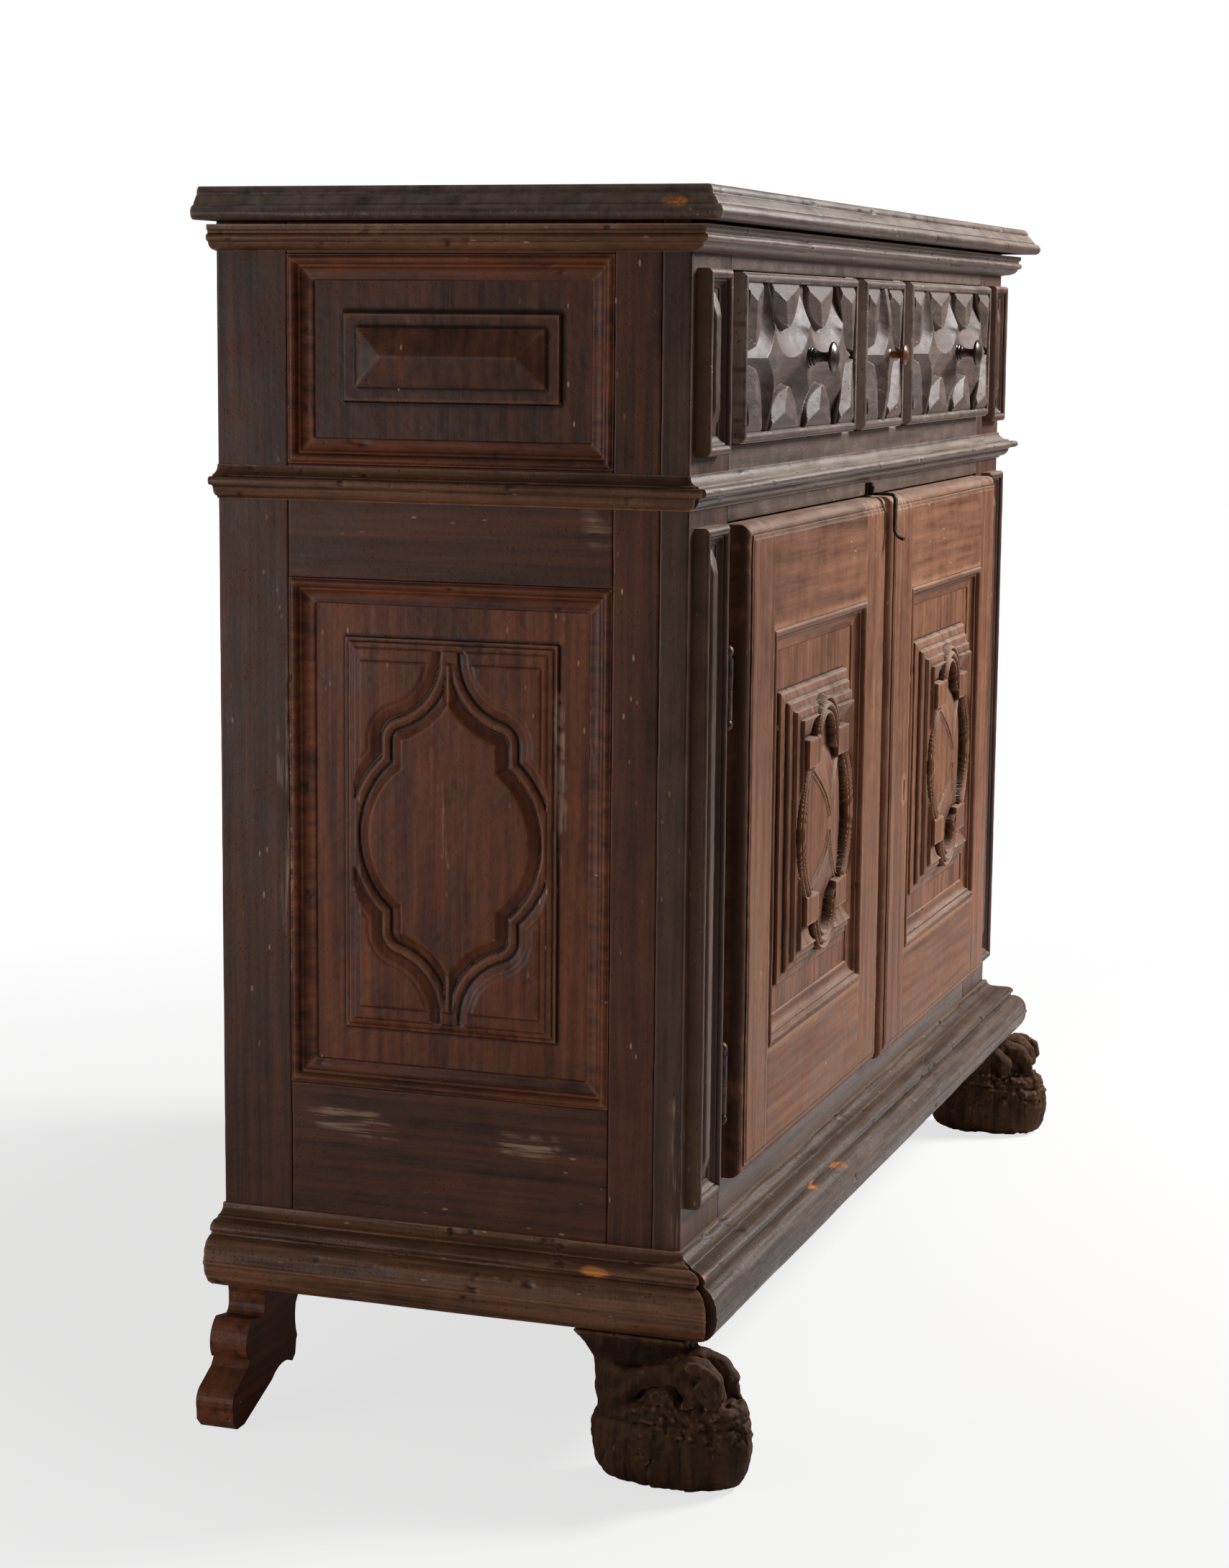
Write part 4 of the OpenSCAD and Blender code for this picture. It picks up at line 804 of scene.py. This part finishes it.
def door_frame(name):
    """The door's frame as one plate: at d from its outer edge a quarter round of 9, a step and a flat, with a
    square opening and fine joint lines. The door with the lock has a keyhole."""
    x0, x1, z0, z1 = DOOR
    a0, a1, b0, b1 = RECESS
    front, back = (corner[1] for corner in span("door_frame_" + name))
    edge = [(0.0, -11.0), (7.4, -2.1), (9, -2), (9.5, -0.8), (12, -0.8), (13, 0)]
    near = [0.15, 0.4, 0.8, 1.5, 2.5, 4, 5.5, 7.4, 9, 9.5, 12, 13, 14]
    keyhole = (64.0, 68.0, 463.5, 484.5)
    locked = name == "right"

    def height(x, z):
        d = np.minimum(np.minimum(x - x0, x1 - x), np.minimum(z - z0, z1 - z))
        nose = -11 + np.sqrt(np.clip(81 - (9 - np.clip(d, 0, 9)) ** 2, 0, 81))
        h = np.where(d < 7.4, nose, np.interp(d, *zip(*edge)))
        rail = (z < b0) | (z > b1)
        seam = np.minimum(np.abs(x - a0), np.abs(x - a1))
        h = h - np.where(rail & (seam < 0.5), 0.25, 0)
        return h + hammered(x, z, 0.35, 41) - 0.2

    def hole(x, z):
        gap = (x > a0) & (x < a1) & (z > b0) & (z < b1)
        if locked:
            gap = gap | ((x > keyhole[0]) & (x < keyhole[1]) & (z > keyhole[2]) & (z < keyhole[3]))
        return gap

    stops = [x0 + n for n in near] + [x1 - n for n in near]
    stops += [a + n for a in (a0, a1) for n in (-0.6, 0, 0.6)]
    us = lines(x0, x1, 4, stops + list(keyhole[:2] if locked else ()))
    stops = [z0 + n for n in near] + [z1 - n for n in near]
    vs = lines(z0, z1, 4, stops + [b0, b1, b0 - 2, b1 + 2, *keyhole[2:]])

    def place(x, z, h):
        return np.stack([x, front - h, z], -1)

    points, faces = relief(us, vs, height, place, front - back, hole)
    rail = (points[:, 0] > a0) & (points[:, 0] < a1)
    return points, faces, np.where(rail, 0, 2)


def strap_outline():
    """A quarter of the strapwork's outline from its top to its right: arch, square ear, disc of radius 88."""
    points = [(37 * math.sin(a), 78 + 37 * math.cos(a)) for a in np.linspace(0, math.pi / 2, 12)]
    points += [(37.0, 83.0), (66.0, 83.0), (66.0, 58.2)]
    points += [(88 * math.cos(a), 88 * math.sin(a)) for a in np.linspace(0.723, 0, 14)]
    return points


def door_relief(x, z):
    """Door panel about the middle of its field: flat margin, four steps of about 4.5, corner pieces that
    sink towards a ribbed strap 17 wide, in the shape of a disc with arches above and below, and inside it
    a point 19.5 high whose sides fall by 0.14 a sideways and by 0.0021 b b up and down."""
    a, b = np.abs(x), np.abs(z)
    d = np.minimum(109.5 - a, 128 - b)
    steps = np.interp(d, [0, 1, 9.5, 10.5, 17.5, 18.5, 25.5, 26.8], [0, 4, 6, 9.2, 10.8, 13.8, 15.2, 18.5])
    edge = strap_outline()
    gap = distance(a, b, edge)
    within = inside(a, b, edge + [(0.0, 0.0)])
    across = [0, 0.7, 1.8, 3, 4, 5, 6, 8.5, 11, 12, 13, 14, 15.2, 16.3, 17]
    level = [11, 17.2, 18, 17.2, 14.2, 14.2, 17, 18.8, 17, 14.2, 14.2, 17.2, 18, 17.2, 9.5]
    strap = np.interp(gap, across, level)
    fall = np.maximum(0.14 * a, 0.0021 * b * b)
    ridge = (0.14 * a - 0.0021 * b * b) / np.hypot(0.14, 0.0042 * b)
    line = 1.1 * np.exp(-((np.abs(ridge) - 2.4) / 1.1) ** 2) - 0.9 * np.exp(-(ridge / 1.1) ** 2)
    boss = np.maximum(9.5, 19.5 - fall + np.where(b > 6, line, 0))
    share = gap / (gap + np.clip(d - 26.8, 0, None) + 1e-6)
    corner = 11.5 + 7 * share ** 1.5
    h = np.where(d > 26.8, corner, steps)
    h = np.where(within, np.where(gap < 17, strap, boss), np.minimum(h, np.where(d > 18, 11.5 + 2 * gap, 99)))
    ear = (a > 28) & (a < 66) & (b > 57) & (b < 83)
    rim = np.minimum(np.minimum(a - 28, 66 - a), np.minimum(b - 57, 83 - b))
    h = np.where(ear, np.maximum(h, 18.4 + 0.6 * step(rim, 0, 2)), h)
    return h + hammered(x, z, 0.35, 51)


def door_panel(name):
    """The door's carved panel behind the recess moulding; its carving sits 6 below the middle."""
    a0, a1, b0, b1 = RECESS
    ground = span("door_moulding_" + name)[1][1]
    back = span("door_panel_" + name)[1][1]

    def height(x, z):
        return door_relief(x - middle(a0, a1), z - middle(b0, b1) + 6)

    us, vs = lines(a0 + 1, a1 - 1, 1.3), lines(b0 + 1, b1 - 1, 1.3)
    return relief(us, vs, height, lambda x, z, h: np.stack([x, ground - h, z], -1), ground - back)


def lathe(profile, x, z, y):
    """A profile of (radius, forward) turned about a line that runs forward from (x, y, z)."""
    line = softened(profile, 0.35, 1.5)
    line[0, 0] = line[-1, 0] = 0
    n = 56
    a = np.arange(n) * 2 * math.pi / n
    r, forward = line[1:-1, :1], line[1:-1, 1:]
    rings = np.stack([x + r * np.cos(a), y - forward + 0 * a, z + r * np.sin(a)], -1)
    k, faces = tube_faces(len(rings), n)
    points = np.concatenate([rings.reshape(-1, 3), [(x, y - line[0, 1], z), (x, y - line[-1, 1], z)]])
    for i in range(n):
        faces.append([k[0, i], k[0, (i + 1) % n], k.size])
        faces.append([k[-1, (i + 1) % n], k[-1, i], k.size + 1])
    return points, [[int(i) for i in face] for face in faces]


def smooth_least(a, b, k):
    """The lesser of two distances with the crease between them filled over k."""
    h = np.clip(k - np.abs(a - b), 0, None) / k
    return np.minimum(a, b) - h * h * k / 4


def chain(p, beads):
    """Distance from a string of beads (x, y, z, radius), the radius running evenly between them."""
    best = np.full(len(p), 1e9)
    for first, last in zip(beads, beads[1:]):
        a, b = np.array(first[:3], float), np.array(last[:3], float)
        t = np.clip(((p - a) @ (b - a)) / ((b - a) @ (b - a)), 0, 1)
        away = np.linalg.norm(p - a - t[:, None] * (b - a), axis=1)
        best = np.minimum(best, away - first[3] - t * (last[3] - first[3]))
    return best


def drum(p, cx, cy, rx, ry, z0, z1, soft):
    """Distance from an upright oval drum with its rims rounded by soft."""
    k = np.hypot((p[:, 0] - cx) / rx, (p[:, 1] - cy) / ry)
    across = (k - 1) * np.hypot(p[:, 0] - cx, p[:, 1] - cy) / (k + 1e-9) + soft
    up = np.abs(p[:, 2] - (z0 + z1) / 2) - (z1 - z0) / 2 + soft
    outer = np.hypot(np.clip(across, 0, None), np.clip(up, 0, None))
    return outer + np.minimum(np.maximum(across, up), 0) - soft


# Toes and claws of the left paw as strings of beads (out, back, up, radius)
OUTER_TOE = [(40, 40, 62, 9), (48, 31, 72, 9), (51, 21, 85, 8.5), (52, 8, 93, 8.5), (52, -6, 96, 8.5),
             (52, -18, 94, 8.5), (53, -28, 86, 9), (52, -29, 77, 7.5)]
BOSS = [(44, 5, 75, 10), (45, -6, 75, 10)]
FRONT_TOE = [(36, -4, 90, 13), (44, -20, 98, 12.5), (46, -34, 98, 12), (46, -43, 91, 10), (46, -47, 82, 8),
             (46, -44, 73, 6)]
CLAW = [(57, -28, 105, 4.5), (59, -39, 104, 5), (60, -50, 97, 5), (60, -52, 87, 5), (59, -46, 79, 4.5),
        (59, -39, 82, 4), (59, -36, 90, 4), (60, -41, 95, 4), (60, -45, 89, 4)]
THIRD_TOE = [(16, -4, 92, 14), (18, -26, 97, 12.5), (18, -40, 94, 11), (18, -49, 86, 9), (18, -51, 77, 7),
             (18, -46, 69, 4.5)]
INNER_TOE = [(4, 40, 62, 9), (0, 31, 72, 9), (-1, 21, 85, 8.5), (-2, 8, 93, 8.5), (-2, -6, 96, 8.5),
             (-2, -18, 94, 8.5), (-2, -28, 86, 9), (-1, -29, 77, 7.5)]


def paw_distance(p):
    """Distance from the lion's paw: x out from the carcass's side, y back from its front, z up. An oval pad
    that swells at its rims, an ankle, a square neck that flares back under the base, and toes with curled
    claws, all blended. Lumps of noise, a groove round the pad at about 56 and cracks below it are added."""
    x, y, z = p.T
    swell = 1 + 0.12 * ((z - 40) / 40) ** 2
    pad = drum(np.stack([28 + (x - 28) * swell, y * swell, z], 1), 28, -4, 39, 68, 0, 58, 15)
    ankle = drum(p, 22, 8, 23, 53, 30, 92, 10)
    flare = 22 * np.clip((z - 84) / 31, 0, 1) ** 2 * step(y, 20, 50)
    sides = np.stack([np.abs(x - 9) - 16, np.abs(y - 24) - 35 - flare, np.abs(z - 92) - 30], 1)
    neck = np.linalg.norm(np.clip(sides, 0, None), axis=1) + np.minimum(sides.max(1), 0) - 3
    body = smooth_least(smooth_least(pad, ankle, 8), neck, 5)
    for beads in (OUTER_TOE, BOSS, FRONT_TOE, CLAW, THIRD_TOE, INNER_TOE):
        body = smooth_least(body, chain(p, beads), 2)
    body = smooth_least(body, drum(p, 28, -6, 36, 62, 40, 72, 14), 6)

    rugged = step(z, 30, 48) * (1 - step(z, 70, 84)) * (1 - step(y, 12, 40))
    lumps = np.abs(noise(p, 8, 61)) + 0.6 * np.abs(noise(p, 4.5, 64)) - 0.5
    body = body - 3.8 * rugged * lumps + 1.1 * layered(p, 17, 64) + (0.8 + 0.6 * rugged) * noise(p, 3.6, 67)
    body = body + 1.3 * noise(p, 10, 73) * (1 - step(z, 54, 66))
    groove = 56 + 4 * noise(p, 34, 69)
    body = body + 1.8 * np.exp(-((z - groove) / 1.7) ** 2)
    crack = np.abs(noise(p * (1, 1, 0.25), 15, 71))
    body = body + 1.6 * (1 - step(crack, 0.02, 0.08)) * (1 - step(z, 40, 56))
    body = np.maximum(body, np.maximum(x - 67.6, -71.6 - y))
    return np.maximum(body, np.maximum(z - BASE_Z, 0.2 - z))


def skin(field, low, high, pitch):
    """Closed surface where a distance field crosses zero: one point in each crossed cell of a cubic grid, at
    the mean of the crossings of its edges, and one face across each crossed edge."""
    axes = [np.arange(a - 1.5 * pitch, b + 2 * pitch, pitch) for a, b in zip(low, high)]
    lattice = np.stack(np.meshgrid(*axes, indexing="ij"), -1)
    value = field(lattice.reshape(-1, 3)).reshape(lattice.shape[:3])
    cells = tuple(n - 1 for n in value.shape)
    total, count = np.zeros(cells + (3,)), np.zeros(cells)
    crossings = []
    for k in range(3):
        first = tuple(slice(None, -1) if i == k else slice(None) for i in range(3))
        last = tuple(slice(1, None) if i == k else slice(None) for i in range(3))
        a, b = value[first], value[last]
        crossed = (a < 0) != (b < 0)
        p = lattice[first].copy()
        p[..., k] += np.where(crossed, a / np.where(crossed, a - b, 1), 0) * pitch
        i, j = (k + 1) % 3, (k + 2) % 3
        for shift in ((0, 0), (1, 0), (1, 1), (0, 1)):
            cut = [slice(None)] * 3
            for axis, by in zip((i, j), shift):
                cut[axis] = slice(1, None) if by else slice(None, -1)
            total += np.where(crossed[..., None], p, 0)[tuple(cut)]
            count += crossed[tuple(cut)]
        crossings.append((k, i, j, np.argwhere(crossed)))
    number = np.full(cells, -1)
    number[count > 0] = np.arange((count > 0).sum())
    points = total[count > 0] / count[count > 0][:, None]
    faces = []
    for k, i, j, where in crossings:
        corners = []
        for shift in ((0, 0), (1, 0), (1, 1), (0, 1)):
            at = where.copy()
            at[:, i] -= shift[0]
            at[:, j] -= shift[1]
            corners.append(number[tuple(at.T)])
        faces.append(np.stack(corners, 1))
    return points, np.concatenate(faces).tolist()


def mirrored(points, side):
    """Points made for the right, put on side -1 or 1."""
    return points * (side, 1, 1)


def build_mouldings():
    """The top and the cornice, waist and base mouldings, whose left front mitres gape a little."""
    p, f, a = top()
    piece("top", p, f, "root", "side_wood", ["top_board"], a, look="top_wood")
    for key, profile, rough, split in (("cornice", cornice_profile, 0.8, 0),
                                       ("waist", waist_profile, 0.9, 3.5),
                                       ("base", base_profile, 1.3, 9.0)):
        low, high = span(key + "_front")
        z = low[2]
        section = profile(FACE - low[1], high[2] - z)
        p, f, a = moulding(section, z, 0, len(key), rough, split)
        piece(key + "_run", p, f, "root", "front_wood", [key + "_front"], a, depth=0.5,
              look="base_wood" if key == "base" else None)
        left = moulding(section, z, -1, len(key) + 2, rough, 0.8 * split)
        right = moulding(section, z, 1, len(key) + 4, rough, 0)
        p, f, a = join([left, right])
        piece(key + "_returns", p, f, "root", "side_wood", [key + "_sides"], a, depth=0.5, look="return_wood")


def build_front():
    """Stiles, rails and the two uprights between the drawers."""
    for name, side in SIDES:
        p, f, a = board((OPEN_X, FACE, BASE_Z), (SIDE, RAIL_BACK, TOP_Z), 2, seed=11 + side)
        piece("stile_" + name, mirrored(p, side), f, "root", "front_wood", ["front_stile_" + name], a,
              depth=0.4, look="stile_wood")
    for name in ("top_rail", "waist_rail", "base_rail"):
        _, _, z0, z1 = upright("front_" + name)
        p, f, a = board((-OPEN_X + SEAM, FACE, z0), (OPEN_X - SEAM, RAIL_BACK, z1), 0, seed=int(z0))
        piece(name, p, f, "root", "front_wood", ["front_" + name], a, depth=0.4)
    _, outer, z0, z1 = upright("drawer_dividers")
    inner = upright("drawer_front_centre")[1] + 1.5
    posts = [board((x, FACE, z0 + SEAM), (x + outer - inner, RAIL_BACK, z1 - SEAM), 2, seed=3)
             for x in (-outer, inner)]
    p, f, a = join(posts)
    piece("uprights", p, f, "root", "front_wood", ["drawer_dividers"], a, depth=0.4)


def build_side(name, side):
    """Frame, carved panels and mitred mouldings of one end."""
    x0, x1 = -SIDE, span("side_frame_left")[1][0]
    y0, y1 = -PANEL_Y + SEAM, PANEL_Y - SEAM
    inner = (-PANEL_Y + SLACK, PANEL_Y - SLACK)
    upper, lower = (upright("side_" + level + "_panel_left")[2:] for level in ("upper", "lower"))
    place = side_place(side, PANEL_GROUND)
    boards = [board((x0, RAIL_BACK + SEAM, BASE_Z), (x1, -PANEL_Y, TOP_Z), 2, seed=1),
              board((x0, PANEL_Y, BASE_Z), (x1, REAR, TOP_Z), 2, seed=2),
              board((x0, y0, upper[1]), (x1, y1, TOP_Z), 1, seed=3),
              board((x0, y0, lower[1]), (x1, y1, upper[0]), 1, seed=4),
              board((x0, y0, BASE_Z), (x1, y1, lower[0]), 1, pitch=5, seed=5)]
    p, f, a = join(boards)
    node = "side_frame_" + name
    piece(node + "_dressed", mirrored(p, -side), f, "root", "side_wood", [node], a, depth=0.4,
          look="side_frame_wood")
    for level, (z0, z1), height, pitch, look in (("upper", upper, upper_side, 2.0, "side_frame_wood"),
                                                 ("lower", lower, lower_side, 1.3, None)):
        back = span("side_" + level + "_panel_right")[0][0] - PANEL_GROUND
        p, f = relief(lines(*inner, pitch), lines(z0 + SLACK, z1 - SLACK, pitch), height, place, back)
        piece("panel_" + level + "_" + name, p, f, "root", "side_wood",
              ["side_" + level + "_panel_" + name], 2, turns=6, depth=0.6, look=look)
    section = falling(21, 8)
    p, f, _ = join([mitred(section, inner + (z0 + SLACK, z1 - SLACK), place, 5) for z0, z1 in (upper, lower)])
    piece("side_edges_" + name, p, f, "root", "side_wood", ["side_mouldings_" + name], 1, depth=0.5)


def build_pilasters(name, side):
    """The upper and the lower pilaster on one stile."""
    for level in ("upper", "lower"):
        node = "pilaster_" + level + "_" + name
        p, f = pilaster("pilaster_" + level + "_right", 6)
        piece(node + "_dressed", mirrored(p, side), f, "root", "front_wood", [node], 2, depth=0.5,
              look="stile_wood")


def build_drawers():
    """The three carved drawer fronts and their knobs; a knob stands shorter by share than its profile."""
    dark = [(0, 0), (9, 0), (9, 1.2), (8, 2), (8.5, 3), (8.4, 4), (7.1, 5), (7.5, 6.2), (7.1, 7.5), (5.8, 9),
            (4.6, 12), (4, 16), (4, 18.5), (4.6, 21), (6.5, 23.4), (8, 23.8), (11.4, 24.4), (12.8, 25.6),
            (13, 27), (12.6, 28.3), (11.2, 29), (10.6, 29.6), (7.5, 31.2), (4, 32.5), (0, 33)]
    light = [(0, 0), (6, 0), (6, 1), (4.4, 2.5), (3.6, 5), (3.4, 14), (4, 20), (5.5, 23), (8.4, 24.2),
             (9.5, 25.6), (9.6, 27.4), (8.6, 29), (6, 31), (3, 32.6), (0, 33)]
    for name, wood_kind, knob, share in (("left", "knob_wood", dark, 0.8),
                                         ("centre", "knob_wood_light", light, 0.56),
                                         ("right", "knob_wood", dark, 0.8)):
        low, high = span("drawer_front_" + name)
        cx, cz = middle(low[0], high[0]), middle(low[2], high[2])
        half, tall = (high[0] - low[0]) / 2, (high[2] - low[2]) / 2

        def height(u, v):
            return drawer_relief(u, v, half - ROLL, tall - ROLL - 0.5, len(name))

        def place(u, v, h):
            return np.stack([cx + u, low[1] - h, cz + v], -1)

        us = lines(-half, half, 0.95, [s * (half - e) for e in (0.3, 0.6, 7) for s in (-1, 1)])
        vs = lines(-tall, tall, 0.95, [s * (tall - e) for e in (0.3, 0.6, 7.5) for s in (-1, 1)])
        p, f = relief(us, vs, height, place, low[1] - high[1])
        piece("carving_" + name, p, f, "drawer_" + name, "front_wood", ["drawer_front_" + name], 0, turns=4,
              depth=0.5, angle=24, look="drawer_wood")
        p, f = lathe([(r, share * out) for r, out in knob], cx, cz, low[1] - 3.5)
        piece("knob_" + name, p, f, "drawer_" + name, wood_kind, ["drawer_knob_" + name], 0)


def build_doors():
    """Frames, recess mouldings and carved panels of the two doors."""
    for name, side in SIDES:
        body = "door_" + name
        p, f, a = door_frame(name)
        piece("door_stuff_" + name, mirrored(p, side), f, body, "door_wood", ["door_frame_" + name], a,
              depth=0.5)
        ground = span("door_moulding_" + name)[1][1]
        p, f, a = mitred(falling(22, 10), RECESS, lambda x, z, up: np.stack([x, ground - up, z], -1), 9)
        piece("door_edges_" + name, mirrored(p, side), f, body, "door_wood", ["door_moulding_" + name], a,
              depth=0.5)
        p, f = door_panel(name)
        piece("door_carving_" + name, mirrored(p, side), f, body, "door_wood", ["door_panel_" + name], 2,
              turns=4, depth=0.6, angle=30)


def build_paws():
    """The two lion's paws in front."""
    p, f = skin(paw_distance, (-13, -73, -1), (69, 88, 117), 1.5)
    p = p + (SIDE, FACE, 0)
    for name, side in SIDES:
        piece("lion_" + name, mirrored(p, side), f, "root", "paw_wood", ["paw_" + name], 2, turns=6,
              depth=0.8)


def build_camera():
    """The camera, from its azimuth, elevation and roll in degrees, its place and its lens."""
    azimuth, elevation, roll = (math.radians(a) for a in (-70.92, 8.4527, 0.5207))
    level = math.cos(elevation)
    back = Vector((math.sin(azimuth) * level, -math.cos(azimuth) * level, math.sin(elevation)))
    right = (-back).cross(Vector((0, 0, 1))).normalized()
    up = back.cross(right)
    turned = right * math.cos(roll) + up * math.sin(roll)
    up = up * math.cos(roll) - right * math.sin(roll)
    data = bpy.data.cameras.new("camera")
    data.lens = 71.39
    data.sensor_width = 36
    camera = put("camera", data)
    camera.matrix_world = Matrix((turned, up, back)).transposed().to_4x4()
    camera.location = (-2.8901, -0.9151, 0.9276)
    bpy.context.scene.camera = camera


def build_floor():
    """A pale floor that keeps the shadow near the object and turns to white for the camera further off."""
    mesh = bpy.data.meshes.new("floor")
    mesh.from_pydata([(-30, -30, 0), (30, -30, 0), (30, 30, 0), (-30, 30, 0)], [], [(0, 1, 2, 3)])
    floor = put("floor", mesh)
    material, tree, main = new_material("floor")
    main.inputs["Base Color"].default_value = (0.72, 0.71, 0.7, 1)
    main.inputs["Roughness"].default_value = 0.9
    white = shader(tree, "Emission", {"Color": (1, 1, 1, 1), "Strength": 1.0}).outputs[0]
    place = shader(tree, "NewGeometry").outputs["Position"]
    away = shader(tree, "VectorMath", {0: place}, operation="LENGTH").outputs["Value"]
    seen = shader(tree, "LightPath").outputs["Is Camera Ray"]
    share = sums(tree, "MULTIPLY", spread(tree, away, 0.7, 1.8, 0.72, 1.0), seen)
    mix = shader(tree, "MixShader", {0: share, 1: main.outputs[0], 2: white})
    tree.links.new(mix.outputs[0], tree.nodes["Material Output"].inputs["Surface"])
    mesh.materials.append(material)


def build_light():
    """A dim warm world that the camera sees as white, a key lamp before the front and a weak one behind."""
    world = bpy.data.worlds.new("world")
    bpy.context.scene.world = world
    world.use_nodes = True
    tree = world.node_tree
    seen = shader(tree, "LightPath").outputs["Is Camera Ray"]
    dim = shader(tree, "Background", {"Color": (1.0, 0.97, 0.94, 1), "Strength": 0.16}).outputs[0]
    white = shader(tree, "Background", {"Color": (1, 1, 1, 1), "Strength": 1.0}).outputs[0]
    mix = shader(tree, "MixShader", {0: seen, 1: dim, 2: white})
    tree.links.new(mix.outputs[0], tree.nodes["World Output"].inputs["Surface"])
    for name, at, aim, power, size in (("key", (1.5, -1.9, 2.05), (0, 0, 0.6), 136, 0.8),
                                       ("fill", (-2.6, 2.0, 0.5), (-0.5, 0, 0.5), 33, 1.2)):
        light = bpy.data.lights.new(name, "AREA")
        light.energy = power
        light.size = size
        lamp = put(name, light)
        lamp.location = at
        lamp.rotation_euler = (Vector(aim) - Vector(at)).to_track_quat("-Z", "Y").to_euler()
    bpy.context.scene.view_settings.view_transform = "Standard"


build_mouldings()
build_front()
for end in SIDES:
    build_side(*end)
    build_pilasters(*end)
build_drawers()
build_doors()
build_paws()
build_camera()
build_floor()
build_light()
slots = {part["node"]: part["material_slot"] for part in frame["record"]["subparts"]}
for key, obj in frame["nodes"].items():
    if key in slots:
        obj.data.materials.clear()
        obj.data.materials.append(plain[slots[key]])
